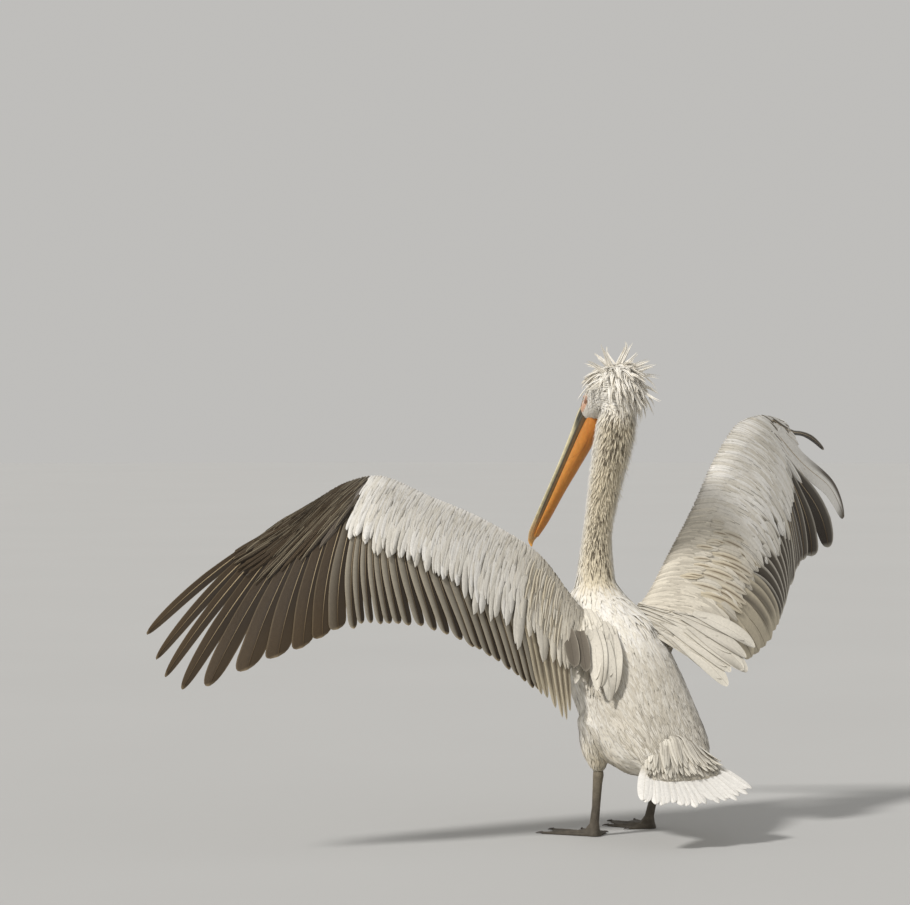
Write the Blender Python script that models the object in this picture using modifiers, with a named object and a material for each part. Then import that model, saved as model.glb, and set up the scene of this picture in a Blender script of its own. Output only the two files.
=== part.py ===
"""A life-size standing pelican with its wings held open, as one still model.

Metres, +Z up. The bird faces -Y, its left is +X and its soles are at Z = 0. Every solid hangs
from one empty, which is moved at the end so that the origin is under the middle of the bird.
"""

import math

import bmesh
import bpy
from mathutils import Vector

GAP = 0.0003  # between neighbours that touch
SHEET_GAP = 0.0012  # between a feather sheet and what it grows from
SHEET_PART = 0.014  # between two sheets of one wing, in ribs
ARM_PART = 0.0036  # between two lengths of an arm, in ribs
FEATHER_THICKNESS = 0.002

# Spine of the trunk, from the neck's root to the tail's root:
# (y, z, half width, depth above the spine, depth below it).
TRUNK = [
    (-0.118, 0.612, 0.060, 0.060, 0.060),
    (-0.108, 0.565, 0.088, 0.086, 0.084),
    (-0.078, 0.508, 0.116, 0.110, 0.116),
    (-0.025, 0.448, 0.132, 0.120, 0.140),
    (0.035, 0.388, 0.138, 0.118, 0.155),
    (0.095, 0.330, 0.139, 0.105, 0.165),
    (0.150, 0.283, 0.136, 0.085, 0.148),
    (0.200, 0.247, 0.128, 0.062, 0.110),
    (0.238, 0.224, 0.112, 0.040, 0.062),
]
# Spine of the neck, from its root up to where it enters the head: (y, z, half width, half depth).
NECK = [
    (-0.114, 0.595, 0.055, 0.055),
    (-0.113, 0.680, 0.043, 0.045),
    (-0.105, 0.758, 0.035, 0.037),
    (-0.084, 0.832, 0.0355, 0.038),
    (-0.060, 0.907, 0.039, 0.042),
    (-0.033, 0.980, 0.046, 0.049),
    (-0.014, 1.048, 0.046, 0.051),
    (-0.022, 1.112, 0.030, 0.033),
]
NECK_CUTS = (0.36, 0.70)  # where the neck is parted, as shares of its length
NECK_ROW = 0.07  # about how far apart the rows above are
# Axis of the head, from the nape to the root of the bill: (y, z, half width, half depth).
HEAD = [
    (0.036, 1.116, 0.008, 0.012),
    (0.026, 1.120, 0.030, 0.040),
    (0.000, 1.125, 0.045, 0.057),
    (-0.035, 1.122, 0.047, 0.062),
    (-0.070, 1.109, 0.044, 0.057),
    (-0.100, 1.092, 0.038, 0.046),
    (-0.128, 1.075, 0.030, 0.035),
    (-0.146, 1.062, 0.0235, 0.027),
]
# The crest's cap on the crown, from its front: (y, z, half width, depth above, depth below).
CREST = [
    (-0.076, 1.134, 0.016, 0.018, 0.012),
    (-0.048, 1.145, 0.043, 0.042, 0.018),
    (-0.016, 1.150, 0.051, 0.048, 0.024),
    (0.018, 1.147, 0.047, 0.046, 0.032),
    (0.048, 1.138, 0.035, 0.034, 0.030),
    (0.064, 1.132, 0.014, 0.018, 0.018),
]
CREST_LOCKS = 11
BILL_ROOT = Vector((0.0, -0.1475, 1.0605))
BILL_TIP = Vector((0.006, -0.421, 0.716))
# Upper mandible: (share of its length, half width, half depth, offset towards the culmen).
UPPER_BILL = [
    (0.00, 0.0230, 0.0110, 0.0130),
    (0.15, 0.0200, 0.0090, 0.0110),
    (0.40, 0.0180, 0.0065, 0.0080),
    (0.70, 0.0190, 0.0050, 0.0060),
    (0.90, 0.0180, 0.0045, 0.0055),
    (0.97, 0.0120, 0.0045, 0.0050),
]
# Lower mandible, as above.
LOWER_BILL = [
    (0.01, 0.0225, 0.0050, -0.0035),
    (0.15, 0.0205, 0.0045, -0.0030),
    (0.40, 0.0180, 0.0038, -0.0028),
    (0.70, 0.0170, 0.0032, -0.0026),
    (0.90, 0.0130, 0.0028, -0.0024),
    (0.965, 0.0070, 0.0022, -0.0020),
]
# Pouch under the lower mandible, as above.
POUCH = [
    (0.02, 0.0195, 0.0245, -0.0340),
    (0.12, 0.0205, 0.0245, -0.0330),
    (0.30, 0.0190, 0.0195, -0.0275),
    (0.55, 0.0150, 0.0125, -0.0200),
    (0.80, 0.0120, 0.0070, -0.0140),
    (0.93, 0.0070, 0.0025, -0.0088),
]
EYE_CENTRE = Vector((0.0325, -0.106, 1.098))
EYE_RADIUS = 0.0095

# Each rib of a wing: (leading edge, trailing edge, share of the chord that the coverts hide).
# Rib 0 is buried in the trunk, rib 6 is the wrist and rib 9 the tip of the hand.
LEFT_RIBS = [
    ((0.060, -0.060, 0.535), (0.120, 0.095, 0.325), 0.78),
    ((0.120, -0.062, 0.600), (0.185, 0.085, 0.345), 0.76),
    ((0.200, -0.085, 0.713), (0.250, 0.070, 0.357), 0.72),
    ((0.350, -0.100, 0.800), (0.390, 0.065, 0.450), 0.62),
    ((0.500, -0.095, 0.858), (0.560, 0.060, 0.537), 0.52),
    ((0.600, -0.093, 0.900), (0.700, 0.050, 0.557), 0.46),
    ((0.660, -0.090, 0.911), (0.805, 0.035, 0.548), 0.42),
    ((0.742, -0.092, 0.893), (0.975, 0.010, 0.482), 0.38),
    ((0.820, -0.092, 0.854), (1.198, -0.053, 0.408), 0.34),
    ((0.890, -0.096, 0.816), (1.260, -0.122, 0.546), 0.30),
]
RIGHT_RIBS = [
    ((-0.060, -0.060, 0.535), (-0.130, 0.150, 0.325), 0.80),
    ((-0.125, -0.062, 0.595), (-0.225, 0.130, 0.357), 0.78),
    ((-0.200, -0.075, 0.700), (-0.330, 0.085, 0.400), 0.72),
    ((-0.290, -0.100, 0.815), (-0.430, 0.030, 0.445), 0.62),
    ((-0.380, -0.135, 0.935), (-0.520, -0.040, 0.490), 0.56),
    ((-0.470, -0.165, 1.025), (-0.600, -0.120, 0.540), 0.54),
    ((-0.545, -0.180, 1.051), (-0.670, -0.195, 0.583), 0.52),
    ((-0.616, -0.222, 1.050), (-0.818, -0.330, 0.636), 0.46),
    ((-0.676, -0.275, 1.044), (-1.035, -0.470, 0.696), 0.40),
    ((-0.718, -0.325, 1.034), (-1.105, -0.610, 0.900), 0.34),
]
# Scapular feathers over the wing's root: (first root, last root, first tip, last tip, count).
SCAPULARS = {
    "left": ((0.045, 0.024, 0.600), (0.100, -0.012, 0.596), (0.122, 0.158, 0.372),
             (0.187, 0.122, 0.366), 5),
    "right": ((-0.050, 0.012, 0.595), (-0.108, -0.030, 0.606), (-0.185, 0.128, 0.366),
              (-0.345, 0.112, 0.492), 7),
}
SCAPULAR_RISE = 0.062  # how far they arch over the wing's root
WRIST = 6.0
ELBOW = 3.2
HAND_TIP = 9.0
ARM_START = 0.35
FLIGHT_START = 1.3
TERTIALS_END = 2.3
WING_BULGE = 0.038  # how far the feathers bow towards the wing's tip
WING_CAMBER = 0.030  # how far the wing's middle stands out on its upper side
ARM_HALF_THICKNESS = 0.019
PRIMARIES = 10
SECONDARIES = 20
TERTIALS = 5

TAIL_FEATHERS = 20
TAIL_ROOT = Vector((0.0, 0.236, 0.222))
TAIL_LENGTH = 0.178
TAIL_COVERED = 0.095  # length of the tail under the tail coverts
TAIL_PITCH = math.radians(-41.0)
TAIL_YAW = math.radians(2.5)
TAIL_SPREAD = math.radians(37.0)  # the outermost feathers from the middle
TAIL_ROOT_HALF_WIDTH = 0.075

ANKLES = {"left": Vector((0.0955, 0.050, 0.168)), "right": Vector((-0.102, 0.022, 0.168))}
HEELS = {"left": Vector((0.094, 0.029, 0.0)), "right": Vector((-0.105, -0.022, 0.0))}
FOOT_TURN = {"left": math.radians(15.0), "right": math.radians(-10.0)}
# Toes: (angle from the foot's line, towards the outside, length, half width at the root).
TOES = {
    "hallux": (math.radians(-76.0), 0.062, 0.0055),
    "inner_toe": (math.radians(-32.0), 0.112, 0.0065),
    "middle_toe": (math.radians(0.0), 0.146, 0.0070),
    "outer_toe": (math.radians(28.0), 0.140, 0.0065),
}
TOE_HEIGHTS = (0.015, 0.011, 0.009, 0.007)  # of a toe, from its root to its tip
WEB_HEIGHTS = (0.009, 0.0045, 0.0035, 0.003)  # of the webs, likewise
HEEL_RADIUS = 0.019
FOOT_HUB = 0.026  # from the heel to where the toes part
CLAW_LENGTH = 0.013

COLOURS = {
    "plumage": ((0.80, 0.78, 0.73), 0.75),
    "grey_plumage": ((0.52, 0.48, 0.42), 0.72),
    "dark_feather": ((0.12, 0.09, 0.065), 0.60),
    "pouch_skin": ((0.70, 0.27, 0.045), 0.45),
    "bill_horn": ((0.36, 0.33, 0.25), 0.40),
    "nail_horn": ((0.75, 0.42, 0.12), 0.35),
    "eye": ((0.50, 0.42, 0.28), 0.08),
    "leg_skin": ((0.22, 0.19, 0.155), 0.60),
    "claw_horn": ((0.07, 0.06, 0.05), 0.40),
}


def clear_scene():
    """Empties the scene and adds the two collections."""
    for obj in list(bpy.data.objects):
        bpy.data.objects.remove(obj)
    made = []
    for name in ("pelican", "cutters"):
        collection = bpy.data.collections.new(name)
        bpy.context.scene.collection.children.link(collection)
        made.append(collection)
    return made


def make_materials():
    """One Principled material for each finish."""
    made = {}
    for name, (colour, roughness) in COLOURS.items():
        material = bpy.data.materials.new(name)
        material.use_nodes = True
        shader = material.node_tree.nodes["Principled BSDF"]
        shader.inputs["Base Color"].default_value = (*colour, 1.0)
        shader.inputs["Roughness"].default_value = roughness
        shader.inputs["Metallic"].default_value = 0.0
        made[name] = material
    return made


def add_object(name, points, faces, material, collection):
    """A mesh object from points and faces."""
    mesh = bpy.data.meshes.new(name)
    mesh.from_pydata([tuple(p) for p in points], [], faces)
    shape = bmesh.new()
    shape.from_mesh(mesh)
    bmesh.ops.recalc_face_normals(shape, faces=shape.faces)
    bmesh.ops.triangulate(shape, faces=shape.faces)
    shape.to_mesh(mesh)
    shape.free()
    if material:
        mesh.materials.append(material)
    mesh.shade_smooth()
    mesh.set_sharp_from_angle(angle=math.radians(50))
    obj = bpy.data.objects.new(name, mesh)
    collection.objects.link(obj)
    return obj


def spline(values, at):
    """Catmull-Rom curve through equally spaced rows of numbers, read at a position in rows."""
    last = len(values) - 1
    k = min(max(int(math.floor(at)), 0), last - 1)
    t = at - k
    here, after = Vector(values[k]), Vector(values[k + 1])
    before = Vector(values[k - 1]) if k > 0 else here * 2 - after
    beyond = Vector(values[k + 2]) if k + 2 <= last else after * 2 - here
    return 0.5 * (
        here * 2
        + (after - before) * t
        + (before * 2 - here * 5 + after * 4 - beyond) * t * t
        + (here * 3 - before - after * 3 + beyond) * t * t * t
    )


def ring(centre, side, up, half_width, half_depth, count):
    """An ellipse of points round a centre."""
    turns = [2 * math.pi * k / count for k in range(count)]
    return [
        centre + side * (half_width * math.cos(a)) + up * (half_depth * math.sin(a)) for a in turns
    ]


def loft(name, rings, material, collection):
    """A closed solid through rings of equally many points, with flat ends."""
    count = len(rings[0])
    points = [p for r in rings for p in r]
    faces = []
    for j in range(len(rings) - 1):
        for k in range(count):
            a, b = j * count + k, j * count + (k + 1) % count
            faces.append((a, b, b + count, a + count))
    first = tuple(range(count))
    faces.append(first[::-1])
    faces.append(tuple(i + (len(rings) - 1) * count for i in first))
    return add_object(name, points, faces, material, collection)


def spine_rings(rows, start, end, steps, count):
    """Rings square to a spine in the bird's middle plane, between two positions in rows."""
    side = Vector((1, 0, 0))
    rings = []
    for j in range(steps + 1):
        at = start + (end - start) * j / steps
        y, z, half_width, above, *below = spline(rows, at)
        below = below[0] if below else above
        ahead, behind = spline(rows, at + 0.02), spline(rows, at - 0.02)
        along = Vector((0, ahead[0] - behind[0], ahead[1] - behind[1])).normalized()
        up = side.cross(along)
        outline = []
        for k in range(count):
            turn = 2 * math.pi * k / count
            depth = above if math.sin(turn) > 0 else below
            across = side * (half_width * math.cos(turn))
            outline.append(Vector((0, y, z)) + across + up * (depth * math.sin(turn)))
        rings.append(outline)
    return rings


def cut(obj, cutter, operation="DIFFERENCE"):
    """Adds a Boolean with the EXACT solver."""
    modifier = obj.modifiers.new(operation.lower(), "BOOLEAN")
    modifier.operation = operation
    modifier.solver = "EXACT"
    modifier.object = cutter


def as_cutter(obj, cutters):
    """Hides a helper from the render."""
    for collection in obj.users_collection:
        collection.objects.unlink(obj)
    cutters.objects.link(obj)
    obj.hide_render = True
    obj.display_type = "WIRE"
    return obj


def make_trimmer(obj, cutters):
    """A copy of a solid that stands GAP and a little more outside it, to trim its neighbours."""
    trimmer = bpy.data.objects.new(f"{obj.name}_trimmer", obj.data.copy())
    cutters.objects.link(trimmer)
    offset = trimmer.modifiers.new("offset", "DISPLACE")
    offset.mid_level = 0.0
    offset.strength = GAP * 1.7
    return as_cutter(trimmer, cutters)


def make_trunk(materials, parts, cutters):
    """The trunk. Returns the trimmer for what joins it."""
    end = len(TRUNK) - 1
    trunk = loft("trunk", spine_rings(TRUNK, 0, end, 12, 20), materials["plumage"], parts)
    return make_trimmer(trunk, cutters)


def make_neck(materials, parts, trunk_trimmer, head_trimmer):
    """The neck in three lengths."""
    end = len(NECK) - 1
    limits = [0.0, NECK_CUTS[0] * end, NECK_CUTS[1] * end, float(end)]
    step = GAP / NECK_ROW
    for k, name in enumerate(("neck_lower", "neck_middle", "neck_upper")):
        rings = spine_rings(NECK, limits[k] + step, limits[k + 1] - step, 4, 18)
        obj = loft(name, rings, materials["plumage"], parts)
        if name == "neck_lower":
            cut(obj, trunk_trimmer)
        if name == "neck_upper":
            cut(obj, head_trimmer)


def make_head(materials, parts, cutters):
    """The feathered head up to the root of the bill, and its trimmer."""
    end = len(HEAD) - 1
    head = loft("head", spine_rings(HEAD, 0, end, 10, 18), materials["plumage"], parts)
    return head, make_trimmer(head, cutters)


def bill_frame():
    """Unit vectors along the bill, across it and towards the culmen."""
    along = (BILL_TIP - BILL_ROOT).normalized()
    side = Vector((1, 0, 0))
    side = (side - along * side.dot(along)).normalized()
    return along, side, along.cross(side).normalized()


def bill_rings(rows, count=12, steps=8):
    """Rings along the bill from rows of (share, half width, half depth, offset)."""
    along, side, up = bill_frame()
    length = (BILL_TIP - BILL_ROOT).length
    rings = []
    for j in range(steps + 1):
        share, half_width, half_depth, offset = spline(rows, (len(rows) - 1) * j / steps)
        centre = BILL_ROOT + along * (share * length) + up * offset
        rings.append(ring(centre, side, up, half_width, half_depth, count))
    return rings


def make_bill(materials, parts, neck_trimmer):
    """Upper mandible with its hooked nail, lower mandible and pouch."""
    loft("bill_upper", bill_rings(UPPER_BILL), materials["bill_horn"], parts)
    loft("bill_lower", bill_rings(LOWER_BILL), materials["bill_horn"], parts)
    pouch = loft("pouch", bill_rings(POUCH), materials["pouch_skin"], parts)
    cut(pouch, neck_trimmer)
    along, side, up = bill_frame()
    length = (BILL_TIP - BILL_ROOT).length
    root = BILL_ROOT + along * (UPPER_BILL[-1][0] * length + GAP) + up * UPPER_BILL[-1][3]
    hook = [(0.0, 0.0, 0.0115, 0.0042), (0.008, -0.001, 0.0090, 0.0040)]
    hook += [(0.015, -0.005, 0.0055, 0.0034), (0.019, -0.012, 0.0020, 0.0020)]
    rings = []
    for forward, drop, half_width, half_depth in hook:
        turn = min(1.0, -drop / 0.012)
        tilted = (up * (1 - 0.6 * turn) + along * (0.8 * turn)).normalized()
        centre = root + along * forward + up * drop
        rings.append(ring(centre, side, tilted, half_width, half_depth, 12))
    loft("bill_nail", rings, materials["nail_horn"], parts)


def add_ball(name, centre, radius, material, collection):
    """A closed ball."""
    shape = bmesh.new()
    bmesh.ops.create_uvsphere(shape, u_segments=10, v_segments=6, radius=radius)
    bmesh.ops.translate(shape, verts=shape.verts, vec=centre)
    mesh = bpy.data.meshes.new(name)
    shape.to_mesh(mesh)
    shape.free()
    if material:
        mesh.materials.append(material)
    mesh.shade_smooth()
    obj = bpy.data.objects.new(name, mesh)
    collection.objects.link(obj)
    return obj


def make_eyes(materials, parts, cutters, head):
    """Two eyeballs set in the sides of the head, which is hollowed for them."""
    for side, sign in (("left", 1), ("right", -1)):
        centre = Vector((EYE_CENTRE.x * sign, EYE_CENTRE.y, EYE_CENTRE.z))
        add_ball(f"eye_{side}", centre, EYE_RADIUS, materials["eye"], parts)
        socket = add_ball(f"socket_{side}", centre, EYE_RADIUS + GAP * 2, None, parts)
        cut(head, as_cutter(socket, cutters))


class Wing:
    """The curved sheet of one wing, read by rib position and share of the chord."""

    def __init__(self, ribs, sign):
        self.lead = [r[0] for r in ribs]
        self.trail = [r[1] for r in ribs]
        self.cover = [(r[2], 0.0, 0.0) for r in ribs]
        self.sign = sign

    def covered(self, at):
        """Share of the chord under the coverts."""
        return spline(self.cover, at)[0]

    def chord(self, at):
        """Length of the chord."""
        return (spline(self.trail, at) - spline(self.lead, at)).length

    def point(self, at, share):
        """A point of the sheet."""
        lead, trail = spline(self.lead, at), spline(self.trail, at)
        outward = spline(self.lead, at + 0.1) + spline(self.trail, at + 0.1)
        outward = (outward - lead - trail).normalized()
        upper = outward.cross(trail - lead).normalized() * self.sign
        reach = min(1.0, at / 2.0)
        fade = 1.0 - 0.6 * max(0.0, (at - WRIST) / (HAND_TIP - WRIST))
        middle = (lead + trail) / 2
        middle += outward * (2 * WING_BULGE * reach * (1.25 * fade - 0.25))
        middle += upper * (2 * WING_CAMBER * fade)
        return (
            lead * (1 - share) ** 2 + middle * (2 * share * (1 - share)) + trail * share**2
        )

    def upper(self, at, share):
        """The upper side's unit normal."""
        across = self.point(at + 0.05, share) - self.point(at - 0.05, share)
        along = self.point(at, min(1.0, share + 0.02)) - self.point(at, max(0.0, share - 0.02))
        return across.cross(along).normalized() * self.sign

    def half_thickness(self, at, share):
        """Half the thickness of the arm with its coverts, blunt in front and thin behind."""
        size = ARM_HALF_THICKNESS * (1.0 - 0.55 * max(0.0, at - 2.0) / (HAND_TIP - 2.0))
        front = min(1.0, math.sqrt(max(0.0, share) / 0.10))
        back = 1.0 - 0.80 * min(1.0, max(0.0, share - 0.10) / (self.covered(at) - 0.10))
        return max(0.0008, size * front * back)


def make_arm_block(name, wing, start, end, steps, material, collection):
    """A length of the arm from its leading edge to the tips of its coverts."""
    shares = (0.0, 0.015, 0.05, 0.12, 0.25, 0.45, 0.70, 1.0)
    points, faces = [], []
    row = 2 * len(shares) - 1
    for j in range(steps + 1):
        at = start + (end - start) * j / steps
        cover = wing.covered(at)
        upper, lower = [], []
        for share in shares:
            c = share * cover
            offset = wing.upper(at, c) * wing.half_thickness(at, c)
            if share == 0.0:
                offset = Vector((0, 0, 0))
            upper.append(wing.point(at, c) + offset)
            lower.append(wing.point(at, c) - offset)
        points += upper[::-1] + lower[1:]
    for j in range(steps):
        for k in range(row):
            a, b = j * row + k, j * row + (k + 1) % row
            faces.append((a, b, b + row, a + row))
    nose = len(shares) - 1
    for base in (nose, steps * row + nose):
        faces.append((base, base + 1, base - 1))
        for k in range(1, nose):
            faces.append((base - k, base + k, base + k + 1))
            faces.append((base - k, base + k + 1, base - k - 1))
    return add_object(name, points, faces, material, collection)


def feather_width(t, tip):
    """Half width of a free feather end against its spacing, from where it parts (0) to its tip."""
    return tip * math.sqrt(max(0.0, 1.0 - t**3)) + (1.0 - tip) * (1.0 - t) ** 2


def make_feather_sheet(name, place, row, count, root, split, tip, steps, material, collection):
    """A row of long feathers as one sheet, joined at the base and parted towards the tips.

    place(at, share) gives a point of the sheet and row its first and last position;
    root, split and tip give, at a position, where the sheet starts, where its feathers part
    and how wide their ends are.
    """
    points, faces, known = [], [], {}

    def vertex(key, at, share):
        if key not in known:
            known[key] = len(points)
            points.append(place(at, share))
        return known[key]

    spacing = (row[1] - row[0]) / count
    for k in range(count):
        centre = row[0] + spacing * (k + 0.5)
        sides = (centre - spacing / 2, centre + spacing / 2)
        lines = []
        for j in range(steps[0] + 1):
            t = j / steps[0]
            shares = [root(at) * (1 - t) + split(at) * t for at in sides]
            lines.append([vertex((k + e, j), sides[e], shares[e]) for e in (0, 1)])
        for j in range(1, steps[1] + 1):
            t = (j / steps[1]) ** 0.75
            width = max(0.10, feather_width(t, tip(centre))) * spacing / 2
            share = split(centre) * (1 - t) + t
            ends = (centre - width, centre + width)
            lines.append([vertex((k, j, e), ends[e], share) for e in (0, 1)])
        for first, second in zip(lines, lines[1:]):
            faces.append((first[0], first[1], second[1], second[0]))
    obj = add_object(name, points, faces, material, collection)
    solid = obj.modifiers.new("thickness", "SOLIDIFY")
    solid.thickness = FEATHER_THICKNESS
    solid.offset = 0.0
    solid.use_even_offset = False
    return obj


def make_wing(side, ribs, sign, materials, parts, trunk_trimmer):
    """Upper arm, forearm, hand and the three rows of flight feathers."""
    wing = Wing(ribs, sign)
    white, grey, dark = (materials[k] for k in ("plumage", "grey_plumage", "dark_feather"))
    arm = make_arm_block(
        f"wing_{side}_upper_arm", wing, ARM_START, ELBOW - ARM_PART, 7, white, parts
    )
    cut(arm, trunk_trimmer)
    make_arm_block(
        f"wing_{side}_forearm", wing, ELBOW + ARM_PART, WRIST - ARM_PART, 7, white, parts
    )
    make_arm_block(
        f"wing_{side}_hand", wing, WRIST + ARM_PART, HAND_TIP, PRIMARIES, grey, parts
    )

    def root(at):
        return wing.covered(at) + SHEET_GAP / wing.chord(at)

    def outer(at):
        return (at - WRIST) / (HAND_TIP - WRIST)

    make_feather_sheet(
        f"wing_{side}_primaries", wing.point, (WRIST + SHEET_PART, HAND_TIP), PRIMARIES, root,
        lambda at: 0.90 - 0.34 * outer(at), lambda at: 0.84 - 0.34 * outer(at), (3, 4),
        dark, parts,
    )
    make_feather_sheet(
        f"wing_{side}_secondaries", wing.point, (TERTIALS_END + SHEET_PART, WRIST - SHEET_PART),
        SECONDARIES, root, lambda at: 0.94, lambda at: 0.9, (2, 2), dark, parts,
    )
    make_feather_sheet(
        f"wing_{side}_tertials", wing.point, (FLIGHT_START, TERTIALS_END - SHEET_PART), TERTIALS,
        root, lambda at: 0.90, lambda at: 0.85, (2, 3), grey, parts,
    )


def make_scapulars(side, materials, parts):
    """The fan of long scapulars that lies over the wing's root."""
    first_root, last_root, first_tip, last_tip, count = SCAPULARS[side]
    sign = 1 if side == "left" else -1
    rise = Vector((0.28 * sign, 0.85, 0.45)).normalized() * SCAPULAR_RISE

    def place(at, share):
        start = Vector(first_root).lerp(Vector(last_root), at)
        end = Vector(first_tip).lerp(Vector(last_tip), at)
        end += rise * (0.25 * math.sin(math.pi * at))
        middle = (start + end) / 2 + rise
        return start * (1 - share) ** 2 + middle * (2 * share * (1 - share)) + end * share**2

    make_feather_sheet(
        f"scapulars_{side}", place, (0.0, 1.0), count, lambda at: 0.0, lambda at: 0.78,
        lambda at: 0.80, (4, 4), materials["plumage"], parts,
    )


def tail_point(at, share):
    """A point of the tail's fan: at runs from -1 to 1 across it, share from its root to its tip."""
    angle = at * TAIL_SPREAD - TAIL_YAW
    back = Vector((0, math.cos(TAIL_PITCH), math.sin(TAIL_PITCH)))
    reach = share * TAIL_LENGTH * (1.0 - 0.06 * at * at)
    root = TAIL_ROOT + Vector((at * TAIL_ROOT_HALF_WIDTH, 0, 0))
    return root + Vector((math.sin(angle), 0, 0)) * reach + back * (math.cos(angle) * reach)


def make_tail(materials, parts):
    """Rump with the tail coverts, and the fan of white tail feathers."""
    y, z, half_width, above, below = TRUNK[-1]
    count = 20
    first = spine_rings(TRUNK, len(TRUNK) - 1, len(TRUNK) - 1, 1, count)[0]
    back = Vector((0, math.cos(TAIL_PITCH), math.sin(TAIL_PITCH)))
    up = Vector((1, 0, 0)).cross(back)
    covered = TAIL_COVERED / TAIL_LENGTH
    rings = [[p + back * GAP * 1.5 for p in first]]
    for t in (0.25, 0.5, 0.75, 1.0):
        row = []
        for k in range(count):
            turn = 2 * math.pi * k / count
            depth = (above if math.sin(turn) > 0 else below) * (1 - t) ** 1.3 + 0.004
            spot = tail_point(math.cos(turn) * 0.97, covered * t)
            spot = spot.lerp(first[k] + back * (TAIL_COVERED * t), (1 - t) ** 2)
            row.append(spot + up * (depth * math.sin(turn) * (1 - (1 - t) ** 2)))
        rings.append(row)
    loft("rump", rings, materials["plumage"], parts)
    make_feather_sheet(
        "tail", tail_point, (-1.0, 1.0), TAIL_FEATHERS,
        lambda at: covered + SHEET_GAP / TAIL_LENGTH, lambda at: 0.86, lambda at: 0.8, (1, 3),
        materials["plumage"], parts,
    )


def limb(name, rows, count, material, collection):
    """A leg's length through rows of (point, radius along x, radius along y)."""
    rings = [
        ring(point, Vector((1, 0, 0)), Vector((0, 1, 0)), across, along, count)
        for point, across, along in rows
    ]
    return loft(name, rings, material, collection)


def make_leg(side, sign, materials, parts, trunk_trimmer):
    """Feathered thigh, bare shank, webbed foot and claws."""
    ankle, heel = ANKLES[side], HEELS[side]
    hip = Vector((ankle.x * 0.70, 0.055, 0.365))
    middle = hip.lerp(ankle, 0.36)
    lower = hip.lerp(ankle, 0.60)
    thigh_rows = [
        (hip, 0.040, 0.045),
        (middle + Vector((ankle.x * 0.04, 0, 0)), 0.066, 0.070),
        (lower + Vector((ankle.x * 0.02, 0, 0)), 0.056, 0.060),
        (ankle + Vector((0, -0.004, 0.040)), 0.036, 0.040),
        (ankle + Vector((0, -0.001, 0.012)), 0.019, 0.021),
        (ankle, 0.013, 0.015),
    ]
    thigh = limb(f"leg_{side}_thigh", thigh_rows[::-1], 16, materials["plumage"], parts)
    cut(thigh, trunk_trimmer)
    foot_top = heel + Vector((0, 0, 0.030))
    shank_rows = [
        (foot_top + Vector((0, 0, GAP)), 0.0120, 0.0135),
        (heel.lerp(ankle, 0.45), 0.0100, 0.0130),
        (heel.lerp(ankle, 0.80), 0.0115, 0.0145),
        (ankle + Vector((0, 0, -0.012)), 0.0130, 0.0165),
        (ankle + Vector((0, 0, -GAP)), 0.0120, 0.0150),
    ]
    limb(f"leg_{side}_shank", shank_rows, 14, materials["leg_skin"], parts)
    make_foot(side, sign, heel, foot_top, materials, parts)


def toe_direction(side, sign, angle):
    """Unit vector of a toe on the floor: forward is -Y and the outside is away from the body."""
    turned = FOOT_TURN[side] + angle
    return Vector((math.sin(turned) * sign, -math.cos(turned), 0))


def make_foot(side, sign, heel, foot_top, materials, parts):
    """A webbed foot with a flat sole, as spokes from the heel, and a claw on each toe."""
    steps = (0.0, 0.33, 0.70, 1.0)
    spokes = []
    toes = list(TOES.items())
    narrow = (0.75, 0.95, 0.85, 0.45)
    for k, (name, (angle, length, half_width)) in enumerate(toes):
        out = toe_direction(side, sign, angle)
        across = toe_direction(side, sign, angle + math.pi / 2)
        for offset, lift in ((-1.0, 0.55), (0.0, 1.0), (1.0, 0.55)):
            points = []
            for share, height, width in zip(steps, TOE_HEIGHTS, narrow):
                reach = FOOT_HUB + (length - FOOT_HUB) * share
                reach -= 0.003 if offset and share == 1.0 else 0.0
                spot = heel + out * reach + across * (offset * half_width * width)
                points.append(spot + Vector((0, 0, height * lift)))
            spokes.append(points)
        claw_root = heel + out * (length + GAP)
        make_claw(f"claw_{side}_{name}", claw_root, out, half_width, materials, parts)
        if k + 1 < len(toes):
            next_angle, next_length, _ = toes[k + 1][1]
            out = toe_direction(side, sign, (angle + next_angle) / 2)
            length = min(length, next_length) * 0.86
            points = [
                heel + out * (FOOT_HUB + (length - FOOT_HUB) * share) + Vector((0, 0, height))
                for share, height in zip(steps, WEB_HEIGHTS)
            ]
            spokes.append(points)
    for turn in (75, 115, 155, 195, 235):
        out = toe_direction(side, sign, math.radians(turn))
        heights = (0.016, 0.013, 0.009, 0.004)
        points = [
            heel + out * (HEEL_RADIUS * (0.80 + 0.20 * share)) + Vector((0, 0, height))
            for share, height in zip(steps, heights)
        ]
        spokes.append(points)
    hub = []
    for points in spokes:
        out = (points[0] - heel) * Vector((1, 1, 0))
        hub.append(foot_top + Vector((out.x * 0.80, out.y, 0)).normalized() * 0.0135)
    rows = [hub] + [list(row) for row in zip(*spokes)]
    rows.append([Vector((p.x, p.y, 0)) for p in rows[-1]])
    loft(f"leg_{side}_foot", rows, materials["leg_skin"], parts)


def make_claw(name, root, out, half_width, materials, parts):
    """A short hooked claw that stays above the floor."""
    across = Vector((-out.y, out.x, 0))
    up = Vector((0, 0, 1))
    rings = []
    for share, size in ((0.0, 0.52), (0.5, 0.36), (1.0, 0.10)):
        centre = root + out * (CLAW_LENGTH * share) + up * (0.0046 - 0.0028 * share * share)
        rings.append(ring(centre, across, up, half_width * size, half_width * size * 0.9, 6))
    loft(name, rings, materials["claw_horn"], parts)


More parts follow.
